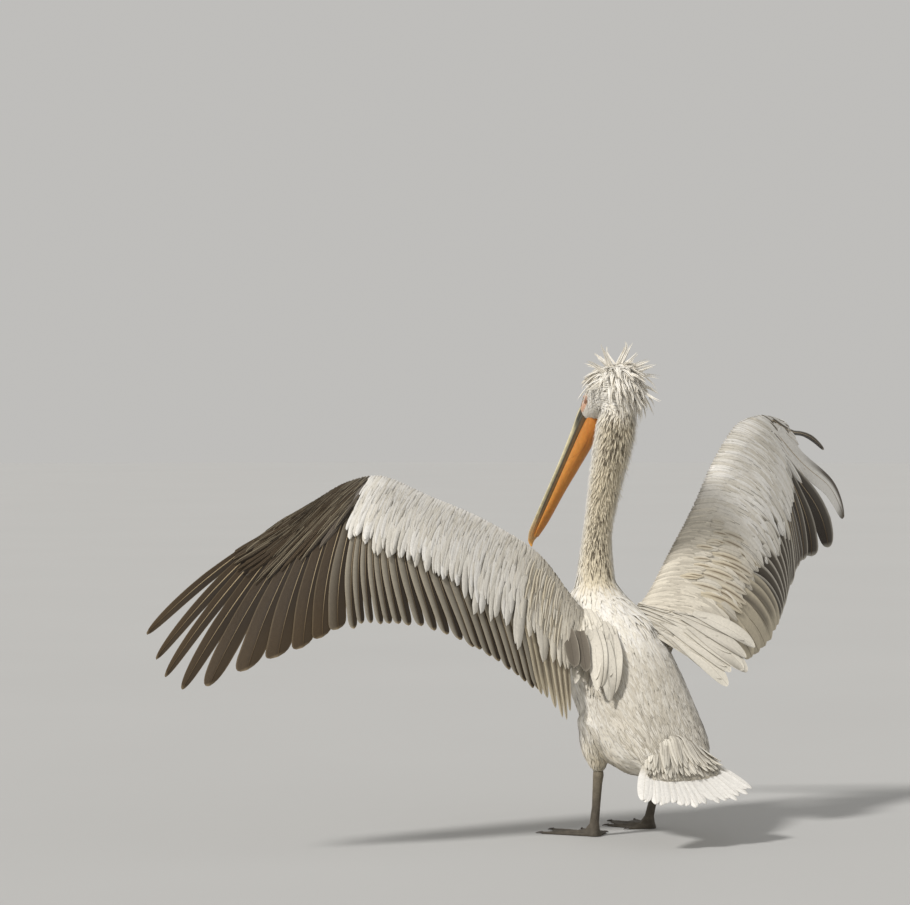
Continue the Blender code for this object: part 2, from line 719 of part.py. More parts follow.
def make_crest(materials, parts, head_trimmer):
    """The shaggy crest as a cap with pointed locks, trimmed to sit on the head."""
    rings = spine_rings(CREST, 0, len(CREST) - 1, 6, 14)
    crest = loft("crest", rings, materials["plumage"], parts)
    root = Vector((0, -0.012, 1.165))
    for k in range(CREST_LOCKS):
        turn = 2 * math.pi * k / CREST_LOCKS
        lean = 0.75 + 0.45 * math.sin(2.4 * k)
        out = Vector((math.cos(turn) * lean, math.sin(turn) * lean + 0.15, 0.62)).normalized()
        side = out.cross(Vector((0.3, 0.2, 0.9))).normalized()
        length = 0.062 + 0.016 * math.sin(3.7 * k)
        rings = []
        for share, radius in ((0.0, 0.0054), (0.5, 0.0052), (1.0, 0.0011)):
            at = root + out * (0.029 + length * share) - Vector((0, 0, 0.012)) * share**2
            rings.append(ring(at, side, side.cross(out), radius, radius, 4))
        lock = loft(f"lock_{k:02d}", rings, None, parts)
        lock.hide_render = True
        lock.display_type = "WIRE"
        cut(crest, lock, "UNION")
    cut(crest, head_trimmer)


def set_origin(parts):
    """Hangs every part from one empty and moves it: origin under the middle of the whole box."""
    bpy.context.view_layer.update()
    graph = bpy.context.evaluated_depsgraph_get()
    corners = []
    for obj in parts.objects:
        if not obj.hide_render:
            evaluated = obj.evaluated_get(graph)
            corners += [evaluated.matrix_world @ v.co for v in evaluated.data.vertices]
    low = Vector([min(p[k] for p in corners) for k in range(3)])
    high = Vector([max(p[k] for p in corners) for k in range(3)])
    base = bpy.data.objects.new("bird", None)
    parts.objects.link(base)
    for obj in bpy.data.objects:
        if obj is not base:
            obj.parent = base
    base.location = (-(low.x + high.x) / 2, -(low.y + high.y) / 2, -low.z)


def main():
    parts, cutters = clear_scene()
    materials = make_materials()
    trunk_trimmer = make_trunk(materials, parts, cutters)
    head, head_trimmer = make_head(materials, parts, cutters)
    make_neck(materials, parts, trunk_trimmer, head_trimmer)
    end = len(NECK) - 1
    whole_neck = loft("neck", spine_rings(NECK, 0, end, 18, 20), None, cutters)
    neck_trimmer = make_trimmer(whole_neck, cutters)
    bpy.data.objects.remove(whole_neck)
    make_bill(materials, parts, neck_trimmer)
    make_eyes(materials, parts, cutters, head)
    make_crest(materials, parts, head_trimmer)
    make_wing("left", LEFT_RIBS, 1, materials, parts, trunk_trimmer)
    make_wing("right", RIGHT_RIBS, -1, materials, parts, trunk_trimmer)
    make_scapulars("left", materials, parts)
    make_scapulars("right", materials, parts)
    make_tail(materials, parts)
    make_leg("left", 1, materials, parts, trunk_trimmer)
    make_leg("right", -1, materials, parts, trunk_trimmer)
    set_origin(parts)


main()
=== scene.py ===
"""Looks of the standing pelican: one skin, its feathers, bill, pouch, eyes, legs and claws."""

import logging
import math
from collections.abc import Callable, Sequence
from dataclasses import dataclass, field
from enum import Enum

import bmesh
import bpy
import numpy as np
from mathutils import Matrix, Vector
from mathutils.bvhtree import BVHTree


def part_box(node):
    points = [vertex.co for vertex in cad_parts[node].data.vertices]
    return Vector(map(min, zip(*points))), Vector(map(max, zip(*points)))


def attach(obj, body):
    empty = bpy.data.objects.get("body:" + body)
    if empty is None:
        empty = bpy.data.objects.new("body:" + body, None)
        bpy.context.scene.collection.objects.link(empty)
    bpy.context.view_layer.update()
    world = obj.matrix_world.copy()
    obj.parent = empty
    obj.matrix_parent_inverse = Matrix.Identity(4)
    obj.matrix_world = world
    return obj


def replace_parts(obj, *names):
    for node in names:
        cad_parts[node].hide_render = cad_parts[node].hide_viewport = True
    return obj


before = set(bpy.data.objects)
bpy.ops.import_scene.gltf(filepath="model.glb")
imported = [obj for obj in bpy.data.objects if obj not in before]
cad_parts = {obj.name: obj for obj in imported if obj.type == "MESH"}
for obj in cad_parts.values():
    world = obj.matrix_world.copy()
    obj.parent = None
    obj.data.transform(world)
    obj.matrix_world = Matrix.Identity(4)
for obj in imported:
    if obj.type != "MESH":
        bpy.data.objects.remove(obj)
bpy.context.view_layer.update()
LOG = logging.getLogger("pelican")
Array = np.ndarray

EYE_CENTRE = np.array((0.0325, -0.106, 1.098))
EYE_RADIUS = 0.0095
SHIFT = np.array((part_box("eye_left")[0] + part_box("eye_left")[1]) / 2) - EYE_CENTRE
PATCH = 0.003  # side of one tuft's patch on the OFBake map
WELD = 0.00002  # corners of a CAD mesh that are this near are one corner, metres
SHARP = math.radians(65)  # edges sharper than this stay creased
BARB_SLANT = -1.3  # metres along the feather that a barb runs for one metre across
WHITE_PRIMARY = 8.52  # where the tip of the right wing's white primary is, in ribs
SHAFT_HALF_WIDTH = 0.0019  # of a flight feather at its root


class Tone(Enum):
    """Colours of the bird's own surfaces, as sRGB hex."""

    WHITE = "#F3F0EA"
    SOFT_WHITE = "#E6E0D2"
    CREAM = "#E4DAC4"
    BUFF = "#CFC1A2"
    SILVER = "#B8B0A0"
    PALE_GREY = "#CFC9BC"
    GREY = "#857E70"
    GREY_BROWN = "#625A4E"
    BROWN = "#483925"
    DARK_BROWN = "#30261A"
    WARM_BROWN = "#665338"
    SPECKLE = "#574A36"
    SHAFT = "#B9A583"
    FACE = "#CBA288"
    FACE_RIM = "#AE7358"
    POUCH = "#C98636"
    POUCH_DEEP = "#B8702A"
    POUCH_VEIN = "#A4481C"
    CULMEN = "#4C4A45"
    BILL_EDGE = "#E3D9B4"
    BILL_SIDE = "#8D8975"
    NAIL = "#E0992F"
    IRIS = "#DDD3B4"
    PUPIL = "#0A0908"
    LEG = "#5F574B"
    LEG_DARK = "#3E382F"
    CLAW = "#262220"
    FLOOR = "#B3B3B2"


def linear(code: str) -> Array:
    """Linear RGB of an sRGB hex code."""
    value = np.array([int(code[k : k + 2], 16) for k in (1, 3, 5)]) / 255.0
    return np.where(value <= 0.04045, value / 12.92, ((value + 0.055) / 1.055) ** 2.4)


def rgb(tone: Tone) -> Array:
    """Linear RGB of a tone."""
    return linear(tone.value)


def blend(first: Array | Tone, second: Array | Tone, share: Array | float) -> Array:
    """Mixes two colours or points.

    Args:
        first: value where share is 0.
        second: value where share is 1.
        share: mixing share, one for each colour.

    Returns:
        The mixed values.
    """
    low, high = (rgb(value) if isinstance(value, Tone) else value for value in (first, second))
    amount = np.asarray(share)[..., None]
    return low * (1.0 - amount) + high * amount


def wash(base: Array | Tone, *layers: tuple[Array | Tone, Array | float]) -> Array:
    """Colour seen through layers of other colours.

    Args:
        base: the lowest colour.
        layers: colour and share of each, the lowest first.

    Returns:
        The colours.
    """
    for colour, share in layers:
        base = blend(base, colour, share)
    return base


def chance(middle: float, swing: float, luck: Array) -> Array:
    """Random share about a middle value, from 0 to 1."""
    return np.clip(middle + swing * luck, 0, 1)


def smooth(low: float, high: float, value: Array) -> Array:
    """Smooth step from 0 at low to 1 at high."""
    t = np.clip((value - low) / (high - low), 0.0, 1.0)
    return t * t * (3.0 - 2.0 * t)


def unit(vectors: Array) -> Array:
    """Vectors scaled to length 1."""
    return vectors / np.maximum(np.linalg.norm(vectors, axis=-1, keepdims=True), 1e-9)


def spline(rows: Array, at: Array) -> Array:
    """Catmull-Rom curve through equally spaced rows of numbers.

    Args:
        rows: the rows, of shape (count, values).
        at: positions in rows.

    Returns:
        The values at each position.
    """
    rows = np.asarray(rows, float)
    at = np.asarray(at, float)
    k = np.clip(np.floor(at).astype(int), 0, len(rows) - 2)
    t = (at - k)[..., None]
    ends = [2 * rows[0] - rows[1]], [2 * rows[-1] - rows[-2]]
    padded = np.concatenate([ends[0], rows, ends[1]])
    before, here, after, beyond = (padded[k + j] for j in range(4))
    return 0.5 * (
        here * 2
        + (after - before) * t
        + (before * 2 - here * 5 + after * 4 - beyond) * t**2
        + (here * 3 - before - after * 3 + beyond) * t**3
    )


def add_node(tree: bpy.types.NodeTree, kind: str, links: dict | None = None, **settings: object) -> bpy.types.Node:
    """Adds a shader node with its settings and links.

    Args:
        tree: the material's tree.
        kind: node type without its "ShaderNode" start.
        links: input name or index to the socket, constant, or node whose first output it takes.
        settings: attributes of the node.

    Returns:
        The node.
    """
    made = tree.nodes.new("ShaderNode" + kind)
    for name, value in settings.items():
        setattr(made, name, value)
    for key, value in (links or {}).items():
        source = value.outputs[0] if isinstance(value, bpy.types.Node) else value
        if isinstance(source, bpy.types.NodeSocket):
            tree.links.new(source, made.inputs[key])
        else:
            made.inputs[key].default_value = source
    return made


def new_material(name: str, roughness: float, **constants: float) -> tuple:
    """A material with one Principled shader.

    Args:
        name: the real material.
        roughness: its roughness.
        constants: shader sockets that are the same all over, with _ for a space.

    Returns:
        The material, its tree and its shader.
    """
    made = bpy.data.materials.new(name)
    made.use_nodes = True
    tree = made.node_tree
    shader = tree.nodes["Principled BSDF"]
    shader.inputs["Roughness"].default_value = roughness
    for key, value in constants.items():
        shader.inputs[key.replace("_", " ").title().replace("Ior", "IOR")].default_value = value
    return made, tree, shader


@dataclass(frozen=True)
class VaneFinish:
    """Keratin barbs zipped into a vane: matt and soft, with fine slanted barb lines."""

    name: str
    roughness: float = 0.62
    barb_pitch: float = 0.0016  # real barbs are 0.4 mm apart, too fine to show
    barb_shade: float = 0.07
    barb_relief: float = 0.00015
    sheen: float = 0.25

    def make(self) -> bpy.types.Material:
        """The material, coloured from the tint and streak attributes.

        Returns:
            The material.
        """
        made, tree, shader = new_material(
            self.name, self.roughness, ior=1.54, specular_ior_level=0.3, sheen_weight=self.sheen, sheen_roughness=0.5
        )
        tint, streak, vane = (add_node(tree, "Attribute", attribute_name=name) for name in ("tint", "streak", "vane"))
        axes = add_node(tree, "SeparateXYZ", {0: vane.outputs["Vector"]})
        across = add_node(tree, "Math", {0: axes}, operation="ABSOLUTE")
        slant = add_node(tree, "Math", {0: across, 1: BARB_SLANT, 2: axes.outputs[1]}, operation="MULTIPLY_ADD")
        shifted = add_node(tree, "Math", {0: axes.outputs[2], 1: 0.05, 2: slant}, operation="MULTIPLY_ADD")
        ruffle = add_node(tree, "TexNoise", {"Vector": vane.outputs["Vector"], "Scale": 160.0, "Detail": 2.0})
        wobble = add_node(tree, "Math", {0: ruffle, 1: 0.004, 2: shifted}, operation="MULTIPLY_ADD")
        turns = add_node(tree, "Math", {0: wobble, 1: 2 * math.pi / self.barb_pitch}, operation="MULTIPLY")
        line = add_node(tree, "Math", {0: turns}, operation="SINE")
        dark = add_node(tree, "MapRange", {0: line, 1: -1.0, 2: 1.0, 3: 1.0 - self.barb_shade, 4: 1.0})
        soft = add_node(tree, "MapRange", {0: ruffle, 1: 0.3, 2: 0.7, 3: 0.92, 4: 1.05})
        shade = add_node(tree, "Math", {0: dark, 1: soft}, operation="MULTIPLY")
        base = add_node(tree, "VectorMath", {0: tint.outputs["Color"], 3: shade}, operation="SCALE")
        wide = add_node(tree, "Math", {0: streak.outputs["Alpha"], 1: 0.001}, operation="MULTIPLY")  # mm to metres
        core = add_node(tree, "Math", {0: wide, 1: 0.4}, operation="MULTIPLY")
        mask = add_node(tree, "MapRange", {0: across, 1: core, 2: wide, 3: 1.0, 4: 0.0})
        mixed = {"Factor": mask, 6: base, 7: streak.outputs["Color"]}
        colour = add_node(tree, "Mix", mixed, data_type="RGBA")
        bump = add_node(tree, "Bump", {"Height": line, "Distance": self.barb_relief, "Strength": 0.5})
        tree.links.new(colour.outputs[2], shader.inputs["Base Color"])
        tree.links.new(bump.outputs[0], shader.inputs["Normal"])
        return made


@dataclass(frozen=True)
class HideFinish:
    """Skin or horn with a tint attribute, mottling and a grain of one real size."""

    name: str
    roughness: float
    grain: float  # metres between bumps
    relief: float
    mottle: float = 0.10
    mottle_size: float = 0.012
    cells: bool = False
    coat: float = 0.0
    subsurface: float = 0.0

    def make(self) -> bpy.types.Material:
        """The material.

        Returns:
            The material.
        """
        made, tree, shader = new_material(
            self.name, self.roughness, ior=1.5, specular_ior_level=0.45, coat_weight=self.coat,
            subsurface_weight=self.subsurface, subsurface_scale=0.004,
        )
        tint = add_node(tree, "Attribute", attribute_name="tint")
        place = add_node(tree, "TexCoord").outputs["Object"]
        spots = add_node(tree, "TexNoise", {"Vector": place, "Scale": 1.0 / self.mottle_size, "Detail": 4.0})
        shade = add_node(tree, "MapRange", {0: spots, 1: 0.3, 2: 0.7, 3: 1 - self.mottle, 4: 1 + self.mottle})
        where = {"Vector": place, "Scale": 1.0 / self.grain}
        if self.cells:
            grain = add_node(tree, "TexVoronoi", where, feature="DISTANCE_TO_EDGE").outputs["Distance"]
            height = add_node(tree, "MapRange", {0: grain, 1: 0.0, 2: 0.22})
            seam = add_node(tree, "MapRange", {0: grain, 1: 0.0, 2: 0.10, 3: 0.62, 4: 1.0})
            shade = add_node(tree, "Math", {0: shade, 1: seam}, operation="MULTIPLY")
        else:
            height = add_node(tree, "TexNoise", {**where, "Detail": 3.0})
        base = add_node(tree, "VectorMath", {0: tint.outputs["Color"], 3: shade}, operation="SCALE")
        bump = add_node(tree, "Bump", {"Height": height, "Distance": self.relief, "Strength": 0.7})
        tree.links.new(base.outputs[0], shader.inputs["Base Color"])
        tree.links.new(bump.outputs[0], shader.inputs["Normal"])
        return made


# Small contour feathers: downy at the root and matt, so they read as soft white or cream.
CONTOUR = VaneFinish(
    "contour_feather_keratin", 0.68, barb_pitch=0.0009, barb_shade=0.05, barb_relief=0.00005, sheen=0.35
)
# Flight feathers: stiff, closed vanes, a little glossier, with longer barbs.
FLIGHT = VaneFinish("flight_feather_keratin", 0.52, barb_pitch=0.0020, barb_shade=0.16, sheen=0.05)
# Feathered skin under the coat: dull and soft.
DOWN = HideFinish("downy_skin", 0.9, grain=0.003, relief=0.0006, mottle=0.06)
# Bare face skin: fine wrinkles and a slight wet gloss.
FACE_SKIN = HideFinish("bare_face_skin", 0.48, grain=0.0009, relief=0.00012, subsurface=0.15)
# Pouch: thin elastic skin, blotched, with fine folds and a soft gloss.
POUCH_SKIN = HideFinish("elastic_pouch_skin", 0.42, grain=0.0016, relief=0.00035, subsurface=0.20)
# Bill: horn plates worn smooth, with a soft polish.
HORN = HideFinish("worn_bill_horn", 0.36, grain=0.0022, relief=0.00012, mottle=0.14, coat=0.15)
# Claws: dense dark horn.
CLAW_HORN = HideFinish("claw_horn", 0.38, grain=0.001, relief=0.0001, coat=0.1)
# Legs: net-like scales about 2.5 mm across, matt with dust.
SCALES = HideFinish("scaled_leg_skin", 0.62, grain=0.0030, relief=0.0006, cells=True, mottle=0.18)
# Eye: wet cornea.
EYEBALL = HideFinish("wet_eye", 0.06, grain=0.004, relief=0.00001, mottle=0.05, coat=1.0)


def add_object(name: str, data: bpy.types.ID) -> bpy.types.Object:
    """A new object in the scene.

    Args:
        name: its name.
        data: what it shows.

    Returns:
        The object.
    """
    made = bpy.data.objects.new(name, data)
    bpy.context.scene.collection.objects.link(made)
    return made


def opaque(colours: Array) -> Array:
    """Colours with a fourth value of 1."""
    return np.concatenate([colours, np.ones_like(colours[..., :1])], axis=-1)


def read_vectors(vertices: bpy.types.bpy_prop_collection, key: str) -> Array:
    """One vector of each vertex.

    Args:
        vertices: of a mesh.
        key: the property to read.

    Returns:
        The vectors, (count, 3).
    """
    flat = np.empty(len(vertices) * 3, np.float32)
    vertices.foreach_get(key, flat)
    return flat.reshape(-1, 3).astype(float)


def by_size(faces: Sequence[tuple], sizes: Sequence[int]) -> list[Array]:
    """Faces as one array for each number of corners, without the empty ones."""
    groups = [np.array([f for f in faces if len(f) == size]) for size in sizes]
    return [group for group in groups if len(group)]


def fused(
    shape: bmesh.types.BMesh, voxel: float, rounds: int, scales: bpy.types.Texture | None = None, relief: float = 0.0
) -> tuple[Array, Array, list[tuple]]:
    """Joins overlapping closed shapes into one smooth mesh.

    Args:
        shape: the shapes, used up here.
        voxel: size of the grid that joins them, metres.
        rounds: of smoothing.
        scales: texture that presses scales into the surface.
        relief: how deep, metres.

    Returns:
        Its points in the bird's own frame, their normals and its faces.
    """
    mesh = bpy.data.meshes.new("flesh")
    shape.to_mesh(mesh)
    shape.free()
    helper = add_object("flesh", mesh)
    fuse = helper.modifiers.new("fuse", "REMESH")
    fuse.mode = "VOXEL"
    fuse.voxel_size = voxel
    helper.modifiers.new("relax", "SMOOTH").iterations = rounds
    if scales:
        push = helper.modifiers.new("scales", "DISPLACE")
        push.texture = scales
        push.texture_coords = "LOCAL"
        push.strength = -relief
        push.mid_level = 0.0
    result = helper.evaluated_get(bpy.context.evaluated_depsgraph_get()).to_mesh()
    points, normals = (read_vectors(result.vertices, key) for key in ("co", "normal"))
    faces = [tuple(p.vertices) for p in result.polygons]
    helper.to_mesh_clear()
    bpy.data.objects.remove(helper)
    return points - SHIFT, normals, faces


def add_piece(
    name: str,
    points: Array,
    faces: Sequence[Array],
    finish: VaneFinish | HideFinish,
    attributes: dict[str, Array],
    patch: Array | None = None,
) -> bpy.types.Object:
    """Makes a mesh piece of the visual model and hangs it on the body.

    Args:
        name: the piece's name.
        points: corners in the bird's own frame, (count, 3).
        faces: arrays of equally long faces, each (count, corners).
        finish: what it is made of.
        attributes: point attributes by name: 3 values make a vector, 4 a colour.
        patch: OFBake place of each point, (count, 2).

    Returns:
        The object.
    """
    mesh = bpy.data.meshes.new(name)
    mesh.vertices.add(len(points))
    mesh.vertices.foreach_set("co", (points + SHIFT).astype(np.float32).ravel())
    corners = np.concatenate([f.ravel() for f in faces]).astype(np.int32)
    sizes = np.concatenate([np.full(len(f), f.shape[1]) for f in faces])
    mesh.loops.add(len(corners))
    mesh.polygons.add(len(sizes))
    mesh.loops.foreach_set("vertex_index", corners)
    mesh.polygons.foreach_set("loop_start", np.concatenate([[0], np.cumsum(sizes)[:-1]]).astype(np.int32))
    mesh.update(calc_edges=True)
    mesh.validate()
    mesh.shade_smooth()
    mesh.set_sharp_from_angle(angle=SHARP)
    for key, values in attributes.items():
        kind = "FLOAT_COLOR" if values.shape[1] == 4 else "FLOAT_VECTOR"
        made = mesh.attributes.new(key, kind, "POINT")
        made.data.foreach_set("color" if kind == "FLOAT_COLOR" else "vector", values.astype(np.float32).ravel())
    if patch is not None:
        layer = mesh.uv_layers.new(name="OFBake")
        used = np.empty(len(mesh.loops), np.int32)
        mesh.loops.foreach_get("vertex_index", used)
        layer.uv.foreach_set("vector", patch[used].astype(np.float32).ravel())
    mesh.materials.append(material_of(finish))
    obj = add_object(name, mesh)
    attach(obj, "root")
    LOG.info("%s: %d faces", name, len(mesh.polygons))
    return obj


def material_of(finish: VaneFinish | HideFinish) -> bpy.types.Material:
    """The finish's material, made once."""
    return bpy.data.materials.get(finish.name) or finish.make()


class Back(Enum):
    """How the underside of a feather is closed."""

    FLAT = "flat"  # one strip from edge to edge
    SHELL = "shell"  # a second layer under the first


@dataclass
class Coat:
    """Feathers collected for one piece, or for several when there are many."""

    name: str
    finish: VaneFinish
    slot: str
    most_faces: int = 90000
    parts: list[dict] = field(default_factory=list)

    def add(
        self,
        grid: Array,
        normal: Array,
        tint: Array,
        streak: Array,
        vane: Array,
        patch: Array,
        back: Back = Back.FLAT,
        thickness: float = 0.0006,
    ) -> None:
        """Adds a batch of like feathers.

        Args:
            grid: points, (feathers, rows, columns, 3).
            normal: outward normals, as grid.
            tint: colours, as grid.
            streak: shaft colour and half width in mm, (feathers, 4).
            vane: metres across and along the feather and its own number, as grid.
            patch: root's place on the OFBake map, (feathers, 2).
            back: how the underside is closed.
            thickness: of a shell.
        """
        count, rows, columns, _ = grid.shape
        layers = [grid]
        if back is Back.SHELL:
            layers.append(grid - normal * thickness)
        points = np.stack(layers, axis=1)
        per = points.shape[1] * rows * columns
        index = np.arange(rows * columns).reshape(rows, columns)
        quads = [self.strip(index)]
        if back is Back.SHELL:
            below = index + rows * columns
            quads.append(self.strip(below)[:, ::-1])
            for rim in (np.s_[:, 0], np.s_[::-1, -1], np.s_[-1], np.s_[0, ::-1]):
                edge, under = index[rim], below[rim]
                quads.append(np.stack([edge[:-1], edge[1:], under[1:], under[:-1]], axis=1))
            caps = np.empty((0, 3), int)
        else:
            ends = index[:, [0, -1]]
            quads.append(self.strip(ends)[:, ::-1])
            caps = np.stack([index[0], index[-1][::-1]])
        faces = np.concatenate(quads)
        start = (np.arange(count) * per)[:, None, None]
        wide = vane[..., 0] / np.maximum(np.abs(vane[..., 0]).max(axis=(1, 2), keepdims=True), 1e-6)
        long = vane[..., 1] / np.maximum(vane[..., 1].max(axis=(1, 2), keepdims=True), 1e-6)
        spot = patch[:, None, None, :] + PATCH * (np.stack([wide, long * 2 - 1], axis=-1) * 0.5)
        repeat = points.shape[1]
        self.parts.append(
            {
                "points": points.reshape(-1, 3),
                "quads": (faces[None] + start).reshape(-1, 4),
                "caps": (caps[None] + start).reshape(-1, caps.shape[1]),
                "tint": self.spread(opaque(tint), repeat),
                "streak": np.repeat(streak, per, axis=0),
                "vane": self.spread(vane, repeat),
                "patch": self.spread(spot, repeat),
            }
        )

    @staticmethod
    def strip(index: Array) -> Array:
        """Quads between the rows and columns of an index grid."""
        corner = index[:-1, :-1], index[:-1, 1:], index[1:, 1:], index[1:, :-1]
        return np.stack(corner, axis=-1).reshape(-1, 4)

    @staticmethod
    def spread(values: Array, repeat: int) -> Array:
        """Values of a grid, repeated for each layer of each feather, as a flat list."""
        return np.stack([values] * repeat, axis=1).reshape(-1, values.shape[-1])

    def build(self) -> list[bpy.types.Object]:
        """Joins the feathers into as few pieces as the face limit allows.

        Returns:
            The pieces.
        """
        groups: list[list[dict]] = [[]]
        total = 0
        for part in self.parts:
            size = len(part["quads"]) + len(part["caps"])
            if groups[-1] and total + size > self.most_faces:
                groups.append([])
                total = 0
            groups[-1].append(part)
            total += size
        made = []
        for k, group in enumerate(groups):
            name = self.name if len(groups) == 1 else f"{self.name}_{k + 1}"
            made.append(self.join(name, group))
        return made

    def join(self, name: str, group: list[dict]) -> bpy.types.Object:
        """One piece from several batches.

        Args:
            name: its name.
            group: the batches.

        Returns:
            The object.
        """
        starts = np.cumsum([0] + [len(p["points"]) for p in group])
        faces = [np.concatenate([p["quads"] + s for p, s in zip(group, starts)])]
        faces += [p["caps"] + s for p, s in zip(group, starts) if len(p["caps"])]
        joined = {k: np.concatenate([p[k] for p in group]) for k in ("points", "tint", "streak", "vane", "patch")}
        keys = {k: joined[k] for k in ("tint", "streak", "vane")}
        return add_piece(name, joined["points"], faces, self.finish, keys, joined["patch"])


def vane_profile(t: Array, point: float, root: float = 0.35) -> Array:
    """Half width of a feather along its length, as a share of the widest.

    Args:
        t: 0 at its root, 1 at its tip.
        point: 0 for a round tip, 1 for a long taper.
        root: half width at the root.

    Returns:
        The shares.
    """
    swell = root + (1 - root) * np.sin(np.clip(t / 0.45, 0, 1) * math.pi / 2)
    tip = np.sqrt(np.clip(1 - np.clip((t - 0.45) / 0.55, 0, 1) ** (3.2 - 1.6 * point), 0, 1))
    return np.maximum(swell * tip * (1 - 0.25 * point * t), 0.07)


@dataclass
class Sheet:
    """A curved surface read by a position across it and a share along it."""

    place: Callable[[Array, Array], Array]
    turn: float  # 1 or -1: which way its upper side faces

    def slopes(self, at: Array, share: Array) -> tuple[Array, Array]:
        """Change of the point for one unit across and one along.

        Args:
            at: positions across the sheet.
            share: share along it.

        Returns:
            The change across and the change along.
        """
        step = 0.02
        across = (self.place(at + step, share) - self.place(at - step, share)) / (2 * step)
        along = (self.place(at, share + step) - self.place(at, share - step)) / (2 * step)
        return across, along

    def normal(self, at: Array, share: Array) -> Array:
        """The upper side's unit normal."""
        across, along = self.slopes(at, share)
        return unit(np.cross(across, along)) * self.turn


@dataclass(frozen=True)
class Web:
    """Places on the feathers of one row, as arrays that broadcast together."""

    at: Array  # positions of the feathers across their sheet
    t: Array  # share along a feather, from its root
    s: Array  # side of its shaft, from -1 to 1
    luck: Array  # random number of each feather, from -1 to 1


@dataclass
class Row:
    """How one row of feathers lies on a sheet."""

    at: Array  # positions across the sheet, one for each feather
    start: Array  # share of each root
    end: Array  # share of each tip
    half_width: float  # metres, at the widest
    point: float = 0.3
    root: float = 0.5  # half width at the root, as a share of the widest
    segments: int = 5
    columns: tuple[float, ...] = (-1.0, 0.0, 1.0)
    lift: float | Array = 0.0005  # height at the root
    rise: float | Array = 0.003  # from the root to the tip
    tilt: float = 0.0006  # of the outer edge over the inner one
    camber: float = 0.0012
    sweep: float | Array = 0.0  # towards the tip of the wing, metres for one metre along
    wander: float = 0.05  # random part of the sweep
    vary: float = 0.05  # random part of the length
    lean: float | Array = 0.0  # how far the tip lies outward of the root, in ribs
    bend: float | Array = 1.15  # above 1, the root half leans more than the tip
    twist: float | Array = 0.0  # turn about the shaft that lifts the outer edge, radians
    back: Back = Back.FLAT
    under: bool = False
    widths: Callable[[Array, Array], Array] | None = None
    depth: Callable[[Array, Array], Array] | None = None


def lay_row(
    coat: Coat,
    sheet: Sheet,
    row: Row,
    paint: Callable[[Web], Array],
    streak: Array,
    span: float,
    rng: np.random.Generator,
) -> None:
    """Lays a row of feathers on a sheet.

    Args:
        coat: the piece that takes them.
        sheet: the surface.
        row: how they lie.
        paint: gives the colours.
        streak: shaft colour and half width in mm, (4,) or (feathers, 4).
        span: largest position on the sheet, for the OFBake map.
        rng: seeded random numbers.
    """
    count = len(row.at)
    t = 1 - (1 - np.linspace(0, 1, row.segments + 1)[None, :, None]) ** 1.5  # closer rows near the tip
    s = np.array(row.columns)[None, None, :]
    luck = rng.uniform(-1, 1, (count, 4))
    at = np.broadcast_to(row.at[:, None, None], (count, 1, 1))
    start, end = row.start[:, None, None], row.end[:, None, None]
    share = start + (end - start) * (1 + row.vary * luck[:, :1, None]) * t
    lean, bend, twist = (np.reshape(value, (-1, 1, 1)) for value in (row.lean, row.bend, row.twist))
    at = at - lean * (1 - t) ** bend
    across, along = sheet.slopes(np.broadcast_to(at, share.shape), share)
    scale, reach = np.linalg.norm(across, axis=-1), np.linalg.norm(along, axis=-1)
    if row.widths is None:
        width = row.half_width * vane_profile(t, row.point, row.root) * (1 + 0.10 * luck[:, 1:2, None])
    else:
        width = row.widths(at, share)
    path = np.linalg.norm(np.diff(sheet.place(np.broadcast_to(at, share.shape), share), axis=1), axis=-1)
    length = path.sum(axis=1, keepdims=True)
    sweep = np.reshape(row.sweep, (-1, 1, 1)) + row.wander * luck[:, 2:3, None]
    drift = length * t * sweep - 0.012 * length * t**2
    turn = np.arctan(sweep + lean * bend * (1 - t) ** (bend - 1) / (end - start) * scale / reach)
    side = width * s * np.cos(twist)
    spot = at + (side * np.cos(turn) + drift) / scale
    share = share - side * np.sin(turn) / reach
    normal = sheet.normal(spot, share)
    lift, rise = np.reshape(row.lift, (-1, 1, 1)), np.reshape(row.rise, (-1, 1, 1))
    height = lift + rise * t * (1 + 0.45 * luck[:, 3:4, None]) + row.tilt * s + row.camber * (1 - s**2)
    height = height + width * s * np.sin(twist)
    if row.depth is not None:
        height = height + row.depth(spot, share)
    if row.under:
        normal = -normal
    grid = sheet.place(spot, share) + normal * height[..., None]
    colours = np.broadcast_to(paint(Web(row.at[:, None, None], t, s, luck[:, :1, None])), grid.shape)
    shape = grid.shape[:3]
    number = np.broadcast_to(rng.uniform(0, 1, (count, 1, 1)), shape)
    vane = np.stack(np.broadcast_arrays(width * s, length * t, number), axis=-1)
    patch = np.stack([row.at / span, row.start], axis=-1) * 0.96 + 0.02
    if row.under:
        grid, normal, vane, colours = (values[:, :, ::-1] for values in (grid, normal, vane, colours))
    coat.add(grid, normal, colours, np.broadcast_to(streak, (count, 4)), vane, patch, row.back)


def shaft_mark(tone: Tone, half_width: float, count: int = 1) -> Array:
    """Shaft colour with its half width in mm, for so many feathers."""
    return np.tile(np.append(rgb(tone), half_width), (count, 1))


